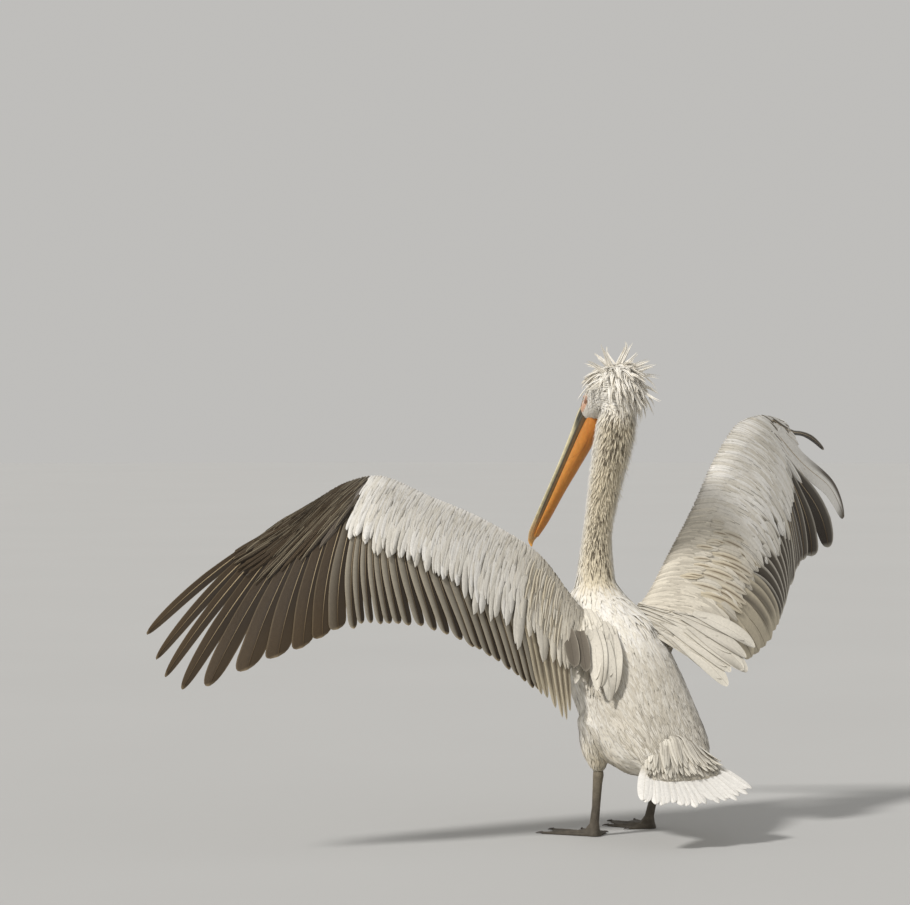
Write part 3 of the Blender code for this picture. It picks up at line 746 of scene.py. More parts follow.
@dataclass
class Plumes:
    """Small feathers given by their middle lines."""

    spine: Array  # points, (feathers, rows, 3)
    up: Array  # the way each point's upper side faces, as spine
    across: Array  # the way each point's right edge lies, as spine
    half_width: Array  # metres, one for each feather

    def lay(
        self, coat: Coat, taper: float, root: float, height: Callable[[Array, Array, Array], Array],
        paint: Callable[[Array, Array], Array], streak: Array, length: Array, patch: Array, rng: np.random.Generator,
    ) -> None:
        """Adds them to a coat.

        Args:
            coat: the piece that takes them.
            taper: 0 for round tips, 1 for long ones.
            root: half width at the roots, as a share of the widest.
            height: over the middle line, from (share along, side, half width).
            paint: colours, from (share along, side).
            streak: shaft colour and half width in mm, (feathers, 4).
            length: metres, one for each feather.
            patch: roots' places on the OFBake map.
            rng: seeded random numbers.
        """
        t = np.linspace(0, 1, self.spine.shape[1])[None, :, None]
        s = np.array((-1.0, 0.0, 1.0))[None, None, :]
        width = self.half_width[:, None, None] * vane_profile(t, taper, root)
        over = height(t, s, width)
        grid = self.spine[:, :, None] + self.across[:, :, None] * (width * s)[..., None]
        grid = grid + self.up[:, :, None] * over[..., None]
        number = np.broadcast_to(rng.uniform(0, 1, (len(grid), 1, 1)), grid.shape[:3])
        vane = np.stack(np.broadcast_arrays(width * s, length[:, None, None] * t, number), axis=-1)
        normal = np.broadcast_to(self.up[:, :, None], grid.shape)
        coat.add(grid, normal, np.broadcast_to(paint(t, s), grid.shape), streak, vane, patch)


def arc(start: Array, middle: Array, end: Array, share: Array) -> Array:
    """Points of a curve from start to end that bends towards middle."""
    c = share[..., None]
    return start * (1 - c) ** 2 + middle * (2 * c * (1 - c)) + end * c**2


@dataclass(frozen=True)
class Flight:
    """One group of flight feathers, from the inner one outwards."""

    tips: Sequence[float]  # where their tips are, in ribs
    ends: Sequence[float] | float = 0.985  # share of the chord at their tips
    lean: Sequence[float] | float = 0.0  # ribs from root to tip
    sweep: Sequence[float] | float = 0.0
    twist: Sequence[float] | float = 0.0
    overlap: float = 1.75
    widest: Sequence[float] | float = 0.30  # ribs
    bend: Sequence[float] | float = 1.15
    root: Sequence[float] | float = 0.55  # share of the covered chord at their roots
    raised: Sequence[float] | float = 0.0  # height of their roots over the coverts, metres


@dataclass
class WingSizes:
    """What both wings share."""

    wrist: float = 6.0
    elbow: float = 3.2
    tip: float = 9.0
    bulge: float = 0.038
    camber: float = 0.030
    arm: float = 0.019


@dataclass
class Wing:
    """One open wing: coverts in rows, and its flight feathers."""

    side: str
    sign: int
    ribs: Sequence[tuple]
    hand_white: float  # how white the hand's coverts are
    reach: Sequence[float]  # share of the chord that the coverts' tips reach, one for each rib
    lie: tuple  # positions in ribs, and the sweep of the coverts there
    streaked: tuple[float, float]  # where the brown-streaked coverts near the elbow begin and end, in ribs
    streaks: Sequence[tuple]  # rows of them: share of the chord at the roots, length, half width
    # The shaft lines' width also sets how much silver and painted shade the coverts get.
    lines: float  # half width of the coverts' shaft lines, mm
    flight: tuple[Flight, Flight, Flight]  # primaries, secondaries, tertials
    seed: int
    sizes: WingSizes = field(default_factory=WingSizes)

    def __post_init__(self) -> None:
        """Splits the ribs into their edges."""
        self.lead = np.array([r[0] for r in self.ribs])
        self.trail = np.array([r[1] for r in self.ribs])
        self.cover = np.array([[r[2]] for r in self.ribs])
        self.rng = np.random.default_rng(self.seed)
        self.sheet = Sheet(self.place, self.sign)

    def covered(self, at: Array) -> Array:
        """Share of the chord under the coverts."""
        return spline(self.cover, at)[..., 0]

    def veiled(self, at: Array) -> Array:
        """Share of the chord that the tips of the coverts reach."""
        return spline(np.array(self.reach)[:, None], at)[..., 0]

    def outer(self, at: Array) -> Array:
        """0 at the wrist, 1 at the tip of the hand."""
        return np.clip((at - self.sizes.wrist) / (self.sizes.tip - self.sizes.wrist), 0, 1)

    def place(self, at: Array, share: Array) -> Array:
        """Points of the wing's sheet.

        Args:
            at: positions across the sheet.
            share: share along it.

        Returns:
            The points.
        """
        at, share = np.broadcast_arrays(at, share)
        lead, trail = spline(self.lead, at), spline(self.trail, at)
        outward = unit(spline(self.lead, at + 0.1) + spline(self.trail, at + 0.1) - lead - trail)
        upper = unit(np.cross(outward, trail - lead)) * self.sign
        reach = np.minimum(1.0, at / 2.0)
        fade = 1.0 - 0.6 * self.outer(at)
        middle = (lead + trail) / 2 + upper * (2 * self.sizes.camber * fade)[..., None]
        middle = middle + outward * (2 * self.sizes.bulge * reach * (1.25 * fade - 0.25))[..., None]
        return arc(lead, middle, trail, share)

    def depth(self, at: Array, share: Array) -> Array:
        """Half thickness of the arm under its coverts.

        Args:
            at: positions across the sheet.
            share: share along it.

        Returns:
            Metres.
        """
        size = self.sizes.arm * (1.0 - 0.55 * np.maximum(0.0, at - 2.0) / (self.sizes.tip - 2.0))
        front = np.minimum(1.0, np.sqrt(np.maximum(0.0, share) / 0.10))
        fall = np.clip((share - 0.10) / (self.covered(at) - 0.10), 0, 1)
        return np.maximum(0.0006, 0.86 * size * front * (1.0 - 0.88 * fall))

    def spaced(self, share_of_cover: float, first: float, last: float, pitch: float) -> Array:
        """Positions of feathers a pitch apart along a line.

        Args:
            share_of_cover: the line, as a share of the covered chord.
            first: first position, in ribs.
            last: last position.
            pitch: metres between feathers.

        Returns:
            The positions, in ribs.
        """
        at = np.linspace(first, last, 200)
        points = self.place(at, share_of_cover * self.veiled(at))
        run = np.concatenate([[0], np.cumsum(np.linalg.norm(np.diff(points, axis=0), axis=1))])
        count = max(2, int(run[-1] / pitch))
        marks = (np.arange(count) + 0.5 + self.rng.uniform(-0.2, 0.2, count)) / count * run[-1]
        return np.interp(marks, run, at)

    def covert_colour(self, web: Web) -> Array:
        """Upper coverts: white on the arm, buff near the body, brown or pale on the hand, with painted shade at their
        roots and inner webs; on the right wing the silver is partly painted shade.

        Args:
            web: places on the feathers.

        Returns:
            The colours.
        """
        # Silver share: partly the coverts' own grey, partly painted shade, more of it on the right wing.
        grey = 0.45 * self.lines * chance(0.5, 0.6, web.luck)
        white = wash(Tone.WHITE, (Tone.SOFT_WHITE, chance(0.3, 0.5, web.luck)), (Tone.SILVER, grey))
        # Near the body the coverts go cream to silver; the right wing's larger silver share is partly painted shade.
        inner = blend(Tone.CREAM, Tone.SILVER, chance(0.35 + 0.5 * self.lines, 0.4, web.luck))
        near_body = 0.75 * smooth(self.streaked[1] + 0.4, self.streaked[1] - 0.5, web.at + 0.3 * web.luck)
        edge = smooth(0.45, 1.0, web.s) * smooth(-0.5, 0.5, web.luck)
        pale = self.hand_white * smooth(0.9, 0.6, web.luck)
        brown = (Tone.DARK_BROWN, chance(0.5, 0.7, web.luck))
        hand = wash(Tone.BROWN, brown, (Tone.BUFF, 0.55 * edge), (Tone.WHITE, pale))
        base = wash(white, (inner, near_body), (hand, smooth(5.98, 6.12, web.at + 0.12 * web.luck)))
        # Painted shade: darker roots, and a darker inner web under the next feather's edge.
        shadow = 1.0 - 0.06 * smooth(0.35, 0.0, web.t) - (0.12 + 0.45 * self.lines) * smooth(0.25, 1.0, -web.s)
        return base * shadow[..., None]

    def covert_streak(self, at: Array, fine: float) -> Array:
        """Shaft streaks: faint on the arm, straw on the hand; the wide grey ones of the right wing are partly painted
        shade lines between its coverts.
        """
        colour = wash(Tone.PALE_GREY, (Tone.GREY, smooth(0.3, 0.8, self.lines)), (Tone.SHAFT, smooth(6.0, 6.4, at)))
        return np.concatenate([colour, np.full((len(at), 1), fine)], axis=1)

    def elbow_colour(self, web: Web) -> Array:
        """Buff coverts over the elbow, each with a soft brown centre streak.

        Args:
            web: places on the feathers.

        Returns:
            The colours.
        """
        core = smooth(0.42, 0.08, np.abs(web.s)) * smooth(0.05, 0.30, web.t)
        core = core * smooth(1.0, 0.80, web.t) * smooth(-0.9, 0.1, web.luck)
        return wash(Tone.PALE_GREY, (Tone.BUFF, chance(0.35, 0.3, web.luck)), (Tone.WARM_BROWN, 0.95 * core))

    def elbow(self, coat: Coat) -> None:
        """Two rows of brown-streaked coverts on top of the others near the elbow.

        Args:
            coat: the piece that takes them.
        """
        first, last = self.streaked
        for base, length, half_width in self.streaks:
            at = self.spaced(base, first, last, 1.75 * half_width)
            start = base + 0.03 * self.rng.uniform(-1, 1, len(at))
            _, along = self.sheet.slopes(at, start)
            row = Row(
                at, start, start + length / np.linalg.norm(along, axis=-1), half_width, point=0.5, segments=8,
                sweep=np.interp(at, *self.lie), wander=0.06, vary=0.16, lift=0.0052, rise=0.0030, depth=self.depth,
                camber=0.0014, columns=(-1.0, -0.6, -0.3, 0.0, 0.3, 0.6, 1.0),
            )
            streak = shaft_mark(Tone.WARM_BROWN, 0.3, len(at))
            lay_row(coat, self.sheet, row, self.elbow_colour, streak, self.sizes.tip, self.rng)

    def coverts(self, coat: Coat, under: bool) -> None:
        """Rows of coverts from the leading edge to the roots of the flight feathers.

        Args:
            coat: the piece that takes them.
            under: True for the lower side.
        """
        # Each row: root as a share of the covered chord, length, half width, pitch. The last row runs to the edge.
        arm = [(0.046 * k, 0.050 + 0.003 * k, 0.0056 + 0.0003 * k, 0.0084 + 0.0003 * k) for k in range(7)]
        arm += [(0.31 + 0.062 * k, 0.076 + 0.006 * k, 0.0092 + 0.0010 * k, 0.0122 + 0.0012 * k) for k in range(4)]
        arm += [(0.57, 0.0, 0.0145, 0.0190)]
        hand = [(0.070 * k, 0.034 + 0.006 * k, 0.0052 + 0.0004 * k, 0.0086) for k in range(5)]
        hand += [(0.34, 0.080, 0.0085, 0.0135), (0.42, 0.0, 0.0110, 0.0165)]
        first, last = 0.40, self.sizes.tip - 0.10
        bands = ((first, self.sizes.wrist + 0.1, arm), (self.sizes.wrist + 0.1, last, hand))
        for low, high, rows in bands:
            for base, length, half_width, pitch in rows:
                at = self.spaced(base, low, high, pitch * (1.35 if under else 1.0))
                veil = self.veiled(at)
                start = base * veil * (1 + 0.05 * self.rng.uniform(-1, 1, len(at)))
                _, along = self.sheet.slopes(at, start)
                stretch = veil / (1.04 * self.covered(at))
                end = np.minimum(start + length * stretch / np.linalg.norm(along, axis=-1), veil)
                if not length:
                    end = veil * (1 + 0.050 * self.rng.uniform(-1, 1, len(at)))
                row = Row(
                    at, start, end, half_width, segments=4 if under or length < 0.05 else 6, under=under,
                    sweep=np.interp(at, *self.lie) * (1 - 0.5 * base), wander=0.10, vary=0.10,
                    twist=0.10 + 0.25 * self.lines, rise=0.0026 + 0.003 * base, depth=self.depth,
                    camber=(0.10 + 0.12 * base) * half_width, tilt=0.0007 + 0.0014 * base,
                    columns=(-1.0, 0.0, 1.0) if under else (-1.0, -0.6, 0.0, 0.6, 1.0),
                )
                # Shaft line width: the wide grey lines of the right wing are partly painted shade lines.
                streak = self.covert_streak(at, self.lines * (0.3 if base < 0.2 else 1.0))
                paint = self.under_colour if under else self.covert_colour
                lay_row(coat, self.sheet, row, paint, streak, self.sizes.tip, self.rng)

    def under_colour(self, web: Web) -> Array:
        """Under-wing coverts: soft white, greyer on the hand, with painted shade at their roots.

        Args:
            web: places on the feathers.

        Returns:
            The colours.
        """
        hand = 0.6 * smooth(6.0, 7.0, web.at)
        base = wash(Tone.SOFT_WHITE, (Tone.PALE_GREY, chance(0.4, 0.4, web.luck)), (Tone.SILVER, hand))
        # Painted shade: darker roots, under the row before.
        return base * (1.0 - 0.14 * smooth(0.5, 0.0, web.t))[..., None]

    def flight_colour(self, web: Web) -> Array:
        """Flight feathers: dark brown on the hand, near black with silvery outer webs on the arm, and a painted glow
        of light through the hand's tips.

        Args:
            web: places on the feathers.

        Returns:
            The colours.
        """
        hand = smooth(5.7, 6.4, web.at)
        outer_web = blend(Tone.GREY, blend(Tone.BROWN, Tone.DARK_BROWN, 0.35), hand)
        fringe = np.maximum(smooth(0.975, 1.0, web.t), 0.50 * smooth(0.86, 1.0, np.abs(web.s)))
        base = wash(
            Tone.DARK_BROWN,
            (outer_web, smooth(0.02, 0.42, web.s)),
            (Tone.SILVER, 0.65 * (1 - hand) * smooth(0.35, 0.95, web.s)),
            # Painted light: warm brown towards the hand's tips, the glow of light shining through them.
            (Tone.WARM_BROWN, 0.30 * hand * smooth(0.45, 1.0, web.t)),
            (Tone.SHAFT, (0.80 - 0.35 * hand) * fringe),
        )
        return base * (1 + 0.10 * web.luck)[..., None]

    def right_flight_colour(self, web: Web) -> Array:
        """As above, with dark webs and narrow silvery edges, and one white primary.

        Args:
            web: places on the feathers.

        Returns:
            The colours.
        """
        hand = smooth(5.7, 6.9, web.at)
        dark = blend(Tone.DARK_BROWN, Tone.GREY_BROWN, smooth(-0.1, 0.7, web.s) * (0.75 - 0.15 * hand))
        edge = np.maximum(smooth(0.74, 0.96, web.s), smooth(0.95, 1.0, web.t))
        base = blend(dark, Tone.SOFT_WHITE, (0.80 - 0.25 * hand) * edge) * (1 + 0.15 * web.luck)[..., None]
        outer_web = (Tone.BROWN, smooth(0.35, 0.6, web.s) * smooth(0.1, 0.5, web.t))
        bright = wash(Tone.WHITE, outer_web, (Tone.GREY_BROWN, smooth(0.84, 1.0, web.t)))
        return blend(base, bright, smooth(0.22, 0.12, np.abs(web.at - WHITE_PRIMARY)))

    def tertial_colour(self, web: Web) -> Array:
        """Tertials: buff, with grey-brown centres on the left wing and inner webs on the right.

        Args:
            web: places on the feathers.

        Returns:
            The colours.
        """
        left = smooth(0.85, 0.25, np.abs(web.s)) * smooth(1.0, 0.75, web.t)
        right = smooth(-0.2, 0.1, web.s) * smooth(0.85, 0.55, web.s)
        right = right * smooth(1.0, 0.8, web.t) * smooth(-0.7, 0.1, web.luck)
        dark, grey = (left, 0.0) if self.side == "left" else (right, 0.4)
        base = wash(Tone.CREAM, (Tone.BUFF, 0.6), (Tone.SILVER, grey), (Tone.GREY_BROWN, 0.80 * dark))
        return base * (0.95 + 0.08 * web.luck)[..., None]

    def shaft_colour(self, web: Web) -> Array:
        """Shafts: straw at the root, brown near the tip, darker on the arm."""
        arm = 0.7 * (1 - smooth(5.6, 6.4, web.at))
        return wash(Tone.SHAFT, (Tone.WARM_BROWN, smooth(0.4, 1.0, web.t)), (Tone.BROWN, arm))

    def flights(self, coat: Coat, shafts: Coat) -> None:
        """Primaries, secondaries and tertials with their shafts.

        Args:
            coat: the piece that takes the vanes.
            shafts: the piece that takes the shafts.
        """
        dark = self.flight_colour if self.side == "left" else self.right_flight_colour
        # Each group: free end and width of the tip, each with how much the open hand takes off, and colour.
        shapes = (
            (0.95, 0.43, 0.93, 0.36, dark),
            (0.93, 0.0, 0.94, 0.0, dark),
            (0.88, 0.0, 0.90, 0.0, self.tertial_colour),
        )
        for group, (free_end, less, wide, thin, paint) in zip(self.flight, shapes):
            at = np.array(group.tips)
            count = len(at)
            lean = np.broadcast_to(group.lean, count)
            spacing = np.minimum(np.gradient(at), np.broadcast_to(group.widest, count))[:, None, None]
            outer = self.outer(at)[:, None, None]
            opened = smooth(0.30, 0.90, outer)
            overlap, split, tip = group.overlap, free_end - less * opened, wide - thin * opened

            def widths(spot: Array, share: Array) -> Array:
                """Half widths in metres: overlapping up to where the feathers part.

                Args:
                    spot: positions across the sheet.
                    share: share along it.

                Returns:
                    Half widths.
                """
                last = share[:, -1:]
                parted = np.minimum(split, last - 0.06)
                free = np.clip((share - parted) / (last - parted), 0, 1)
                shape = tip * np.sqrt(np.clip(1 - free**3, 0, 1)) + (1 - tip) * (1 - free) ** 2
                near = 1.10 + 0.25 * (overlap - 1.45)
                over = near + (overlap - near) * (1 - smooth(-0.35, 0.02, share - parted))
                across, _ = self.sheet.slopes(np.broadcast_to(spot, share.shape), share)
                return np.maximum(0.07, shape) * over * spacing / 2 * np.linalg.norm(across, axis=-1)

            start = np.array(group.root) * self.covered(at - lean)
            ends = np.broadcast_to(group.ends, count) + 0.006 * self.rng.uniform(-1, 1, count)
            raised = np.broadcast_to(group.raised, count)
            way = {
                "sweep": np.broadcast_to(group.sweep, count), "lean": lean, "bend": group.bend, "wander": 0.008,
                "vary": 0.010, "rise": 0.0, "segments": 22,
            }
            shape = Row(
                at, start, ends, 0.02, tilt=0.0014, camber=0.0005, twist=group.twist, **way,
                columns=(-1.0, -0.86, -0.45, 0.0, 0.35, 0.70, 0.86, 1.0), lift=0.0003 + raised,
                back=Back.SHELL, widths=widths,
            )
            state = self.rng.bit_generator.state
            plain = shaft_mark(Tone.SHAFT, 0.0)
            lay_row(coat, self.sheet, shape, paint, plain, self.sizes.tip, self.rng)
            for under in (False, True):
                self.rng.bit_generator.state = state
                rib = Row(
                    at, start, ends - 0.01, SHAFT_HALF_WIDTH, tilt=0.0, camber=0.0011, **way,
                    lift=(-raised if under else raised + 0.0007) + 0.0001, under=under,
                    widths=lambda _, share: SHAFT_HALF_WIDTH * (1 - 0.72 * share),
                )
                lay_row(shafts, self.sheet, rib, self.shaft_colour, plain, self.sizes.tip, self.rng)

    def build(self) -> None:
        """Makes all the feathers of the wing."""
        vanes, shafts = (
            Coat(f"flight_{part}_{self.side}", FLIGHT, "dark_feather") for part in ("feathers", "shafts")
        )
        upper, lower = (Coat(f"{part}_coverts_{self.side}", CONTOUR, "plumage") for part in ("upper", "under"))
        self.flights(vanes, shafts)
        self.coverts(upper, under=False)
        self.elbow(upper)
        self.coverts(lower, under=True)
        made = [coat.build()[0] for coat in (vanes, shafts, upper, lower)]
        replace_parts(made[0], *(f"wing_{self.side}_{part}" for part in ("primaries", "secondaries", "tertials")))


LEFT_RIBS = (
    ((0.060, -0.060, 0.535), (0.120, 0.095, 0.325), 0.78),
    ((0.120, -0.062, 0.600), (0.185, 0.085, 0.345), 0.76),
    ((0.200, -0.085, 0.713), (0.250, 0.070, 0.357), 0.72),
    ((0.350, -0.100, 0.800), (0.390, 0.065, 0.450), 0.62),
    ((0.500, -0.095, 0.858), (0.560, 0.060, 0.537), 0.52),
    ((0.600, -0.093, 0.900), (0.700, 0.050, 0.557), 0.46),
    ((0.660, -0.090, 0.911), (0.805, 0.035, 0.548), 0.42),
    ((0.742, -0.092, 0.893), (0.975, 0.010, 0.482), 0.38),
    ((0.820, -0.092, 0.854), (1.198, -0.053, 0.408), 0.34),
    ((0.890, -0.096, 0.816), (1.260, -0.122, 0.546), 0.30),
)
RIGHT_RIBS = (
    ((-0.060, -0.060, 0.535), (-0.130, 0.150, 0.325), 0.80),
    ((-0.125, -0.062, 0.595), (-0.225, 0.130, 0.357), 0.78),
    ((-0.200, -0.075, 0.700), (-0.330, 0.085, 0.400), 0.72),
    ((-0.290, -0.100, 0.815), (-0.430, 0.030, 0.445), 0.62),
    ((-0.380, -0.135, 0.935), (-0.520, -0.040, 0.490), 0.56),
    ((-0.470, -0.165, 1.025), (-0.600, -0.120, 0.540), 0.54),
    ((-0.545, -0.180, 1.051), (-0.670, -0.195, 0.583), 0.52),
    ((-0.616, -0.222, 1.050), (-0.818, -0.330, 0.636), 0.46),
    ((-0.676, -0.275, 1.044), (-1.035, -0.470, 0.696), 0.40),
    ((-0.718, -0.325, 1.034), (-1.105, -0.610, 0.900), 0.34),
)

LEFT_FLIGHT = (
    Flight(tuple(6.15 + 0.30 * k for k in range(10)), 0.99, 0.0,
           (0.0, -0.02, -0.025, -0.025, 0.0, 0.03, 0.035, 0.04, 0.045, 0.06), overlap=1.45, widest=0.5),
    Flight(tuple(2.39 + 0.185 * k for k in range(20)), 1.0, 0.0,
           tuple(float(v) for v in np.interp(np.arange(20), (0, 3, 8, 13, 18), (-0.05, -0.15, -0.25, -0.09, -0.02)))),
    Flight((1.30, 1.50, 1.70, 1.90, 2.10, 2.25), (1.06, 1.10, 1.08, 1.03, 1.01, 1.0), 0.0, 0.0, overlap=2.0),
)
RIGHT_FLIGHT = (
    Flight(
        (6.30, 6.43, 6.56, 6.69, 6.82, 6.96, 7.24, 7.68, WHITE_PRIMARY, 9.16),
        (0.95,) * 6 + (0.97, 0.97, 1.13, 0.80),
        (1.6, 1.5, 1.4, 1.3, 1.2, 0.8, 0.9, 1.4, 2.0, 2.3),
        twist=(0.15,) * 3 + (0.2, 0.2, 0.25, 0.35, 0.45, 0.45, 0.30),
        overlap=1.45,
        widest=(0.13,) * 4 + (0.14, 0.2, 0.2, 0.25, 0.32, 0.12),
        bend=(1.2,) * 4 + (1.3, 1.8, 2.4, 3.0, 2.6, 5.0),
        root=(0.55,) * 7 + (0.50, 0.25, 0.08),
        raised=(0.0,) * 7 + (0.002, 0.013, 0.012),
    ),
    Flight(tuple(4.26 + 0.23 * k for k in range(9)), 0.975, tuple(2.2 - 0.08 * k for k in range(9)), twist=0.34),
    Flight((2.00, 2.32, 2.66, 3.02, 3.40, 3.76, 4.04), (0.88, 0.95, 0.97, 0.98, 0.98, 0.97, 0.97),
           (0.8, 1.0, 1.2, 1.4, 1.6, 1.8, 1.9), twist=0.30, overlap=1.55, widest=0.34),
)


@dataclass
class Tail:
    """Fan of twenty white tail feathers."""

    root: Array = field(default_factory=lambda: np.array((0.0, 0.236, 0.222)))
    length: float = 0.178
    covered: float = 0.095
    rump_height: float = 0.052
    pitch: float = math.radians(-41.0)
    yaw: float = math.radians(2.5)
    spread: float = math.radians(37.0)
    root_half_width: float = 0.075
    feathers: int = 20
    coverts: int = 32  # in each row
    seed: int = 41

    def place(self, at: Array, share: Array) -> Array:
        """Points of the fan, at from -1 to 1.

        Args:
            at: positions across the sheet.
            share: share along it.

        Returns:
            The points.
        """
        at, share = np.broadcast_arrays(at, share)
        angle = at * self.spread - self.yaw
        reach = share * self.length * (1.0 - 0.06 * at * at)
        back = np.array((0.0, math.cos(self.pitch), math.sin(self.pitch)))
        sideways = np.stack([at * self.root_half_width + np.sin(angle) * reach, 0 * at, 0 * at], axis=-1)
        return self.root + sideways + back * (np.cos(angle) * reach)[..., None]

    def colour(self, web: Web) -> Array:
        """Bright white with soft grey roots and a shadow along the inner web.

        Args:
            web: places on the feathers.

        Returns:
            The colours.
        """
        base = blend(Tone.PALE_GREY, Tone.WHITE, smooth(0.10, 0.30, web.t))
        inner = smooth(0.45, 1.0, -web.s * np.sign(web.at + 1e-6))
        shadow = 1 - 0.20 * inner * smooth(1.0, 0.5, web.t) + 0.03 * web.luck
        return base * shadow[..., None]

    def covert_colour(self, web: Web) -> Array:
        """Tail coverts: soft white with grey-brown centres that thin out towards the tip."""
        centre = smooth(0.7, 0.0, np.abs(web.s)) * smooth(1.0, 0.4, web.t) * chance(0.5, 0.6, web.luck)
        return wash(Tone.SOFT_WHITE, (Tone.PALE_GREY, chance(0.5, 0.5, web.luck)), (Tone.GREY, 0.60 * centre))

    def depth(self, at: Array, share: Array) -> Array:
        """Height of the rump over the fan."""
        t = np.clip(share / (self.covered / self.length), 0, 1)
        return (self.rump_height * (1 - t) ** 1.3 + 0.006) * np.sqrt(np.clip(1 - (0.92 * at) ** 2, 0.02, 1))

    def build(self) -> None:
        """Makes the tail feathers and the coverts over their roots."""
        rng = np.random.default_rng(self.seed)
        coat, coverts = Coat("tail_feathers", FLIGHT, "plumage"), Coat("tail_coverts", CONTOUR, "plumage")
        sheet = Sheet(self.place, 1.0)
        spacing = 2.0 / self.feathers
        centres = -1 + spacing * (np.arange(self.feathers) + 0.5 + 0.12 * rng.uniform(-1, 1, self.feathers))
        for half in (-1, 1):
            at = centres[centres * half > 0]
            row = Row(
                at, np.full(len(at), 0.22), 0.975 + 0.035 * rng.uniform(-1, 1, len(at)), 0.0185, point=0.12, root=0.6,
                segments=14, columns=(-1.0, -0.8, -0.4, 0.0, 0.4, 0.8, 1.0), lift=0.0004, rise=0.001,
                tilt=-0.0016 * half, camber=0.0020, back=Back.SHELL, wander=0.03,
                depth=lambda at, share: np.maximum(0.0, self.depth(at, share) - 0.007),
            )
            lay_row(coat, sheet, row, self.colour, shaft_mark(Tone.SILVER, 0.5), 2.0, rng)
        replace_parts(coat.build()[0], "tail")
        # Each row of coverts: share at the roots and at the tips, half width, height.
        rows = ((0.06, 0.50, 0.0100, 0.0), (0.00, 0.44, 0.0088, 0.001), (-0.06, 0.37, 0.0076, 0.002))
        for start, end, half_width, lift in rows:
            shift = 0.4 * rng.uniform(-1, 1, self.coverts)
            at = -0.98 + 1.96 * (np.arange(self.coverts) + 0.5 + shift) / self.coverts
            starts, ends = (share + 0.05 * rng.uniform(-1, 1, self.coverts) for share in (start, end))
            row = Row(
                at, starts, ends, half_width, point=0.8, segments=8, lift=lift - 0.013, rise=0.019, depth=self.depth,
                camber=0.0014, wander=0.12,
            )
            lay_row(coverts, sheet, row, self.covert_colour, shaft_mark(Tone.GREY, 0.5), 2.0, rng)
        coverts.build()


@dataclass
class ScapularFan:
    """Long feathers over the wing's root, in layers from long to short."""

    side: str
    sign: int
    roots: tuple
    tips: tuple
    count: int
    dark: int  # grey inner flight feathers beside the fan
    wide: float  # width of its feathers, as a share of the right fan's
    seed: int
    rise: float = 0.062

    def place(self, at: Array, share: Array) -> Array:
        """Points of the fan, at from 0 to 1.

        Args:
            at: positions across the sheet.
            share: share along it.

        Returns:
            The points.
        """
        at, share = np.broadcast_arrays(at, share)
        rise = unit(np.array((0.28 * self.sign, 0.85, 0.45))) * self.rise
        start, end = (blend(np.array(ends[0]), np.array(ends[1]), at) for ends in (self.roots, self.tips))
        end = end + rise * (0.25 * np.sin(math.pi * np.clip(at, 0, 1)))[..., None]
        return arc(start, (start + end) / 2 + rise, end, share)

    def colour(self, web: Web) -> Array:
        """Soft white to cream, with a grey inner web near the tip of some, painted shade on the edges and roots, and
        pale grey that is partly painted half shade.

        Args:
            web: places on the feathers.

        Returns:
            The colours.
        """
        grey = smooth(-0.1, -0.9, web.s) * smooth(0.45, 0.9, web.t) * (web.luck > 0.2)
        # Pale grey share: partly the feathers' own tone, partly painted half shade.
        base = wash(Tone.SOFT_WHITE, (Tone.PALE_GREY, chance(0.45, 0.4, web.luck)), (Tone.GREY, 0.7 * grey))
        # Painted shade: darker edges and roots, where the feathers overlap.
        edge = 1 - 0.10 * smooth(0.7, 1.0, np.abs(web.s)) - 0.10 * smooth(0.4, 0.0, web.t)
        return base * edge[..., None]

    def dark_colour(self, web: Web) -> Array:
        """The innermost flight feathers beside the fan: grey-brown with pale edges."""
        rim = np.maximum(smooth(0.8, 1.0, np.abs(web.s)), smooth(0.96, 1.0, web.t))
        return wash(Tone.GREY_BROWN, (Tone.DARK_BROWN, chance(0.5, 0.5, web.luck)), (Tone.SILVER, 0.5 * rim))

    def build(self) -> None:
        """Makes the layers."""
        rng = np.random.default_rng(self.seed)
        coat = Coat(f"scapular_fan_{self.side}", CONTOUR, "plumage")
        sheet = Sheet(self.place, -self.sign * 1.0)
        vane = {"segments": 12, "columns": (-1.0, -0.85, -0.4, 0.0, 0.4, 0.85, 1.0), "back": Back.SHELL}
        # Each layer: feathers for one of the first, tip share, half width, height.
        layers = ((1.0, 1.00, 0.0240, 0.000), (0.8, 0.85, 0.0240, 0.003), (1.0, 0.68, 0.0220, 0.006),
                  (1.6, 0.52, 0.0160, 0.008), (3.0, 0.40, 0.0110, 0.010), (4.5, 0.29, 0.0085, 0.012))
        for share, reach, half_width, height in layers:
            count = int(self.count * share)
            breadth = 1.0 + (0.16 * self.dark if reach < 0.6 else 0.0)
            at = (np.arange(count) + 0.5 + 0.28 * rng.uniform(-1, 1, count)) / count * breadth
            end = reach * (1 + 0.06 * rng.uniform(-1, 1, count))
            start = np.maximum(0.02, end - 0.62)
            row = Row(
                at, start, end, half_width * self.wide, point=0.45, root=0.45, lift=0.001 + height,
                rise=-0.5 * height, tilt=0.0014, camber=0.0028, **vane,
            )
            streak = shaft_mark(Tone.GREY, 0.35 if reach > 0.6 else 0.1, count)
            lay_row(coat, sheet, row, self.colour, streak, 1.0, rng)
        if self.dark:
            k = np.arange(self.dark)
            row = Row(
                1.30 + 0.42 * k, np.full(self.dark, 0.40), 0.83 - 0.03 * k, 0.0180, point=0.10, root=0.6,
                lift=-0.007, rise=0.003, tilt=0.0022, camber=0.0040, **vane,
            )
            lay_row(coat, sheet, row, self.dark_colour, shaft_mark(Tone.DARK_BROWN, 0.5, self.dark), 1.4, rng)
        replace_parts(coat.build()[0], f"scapulars_{self.side}")


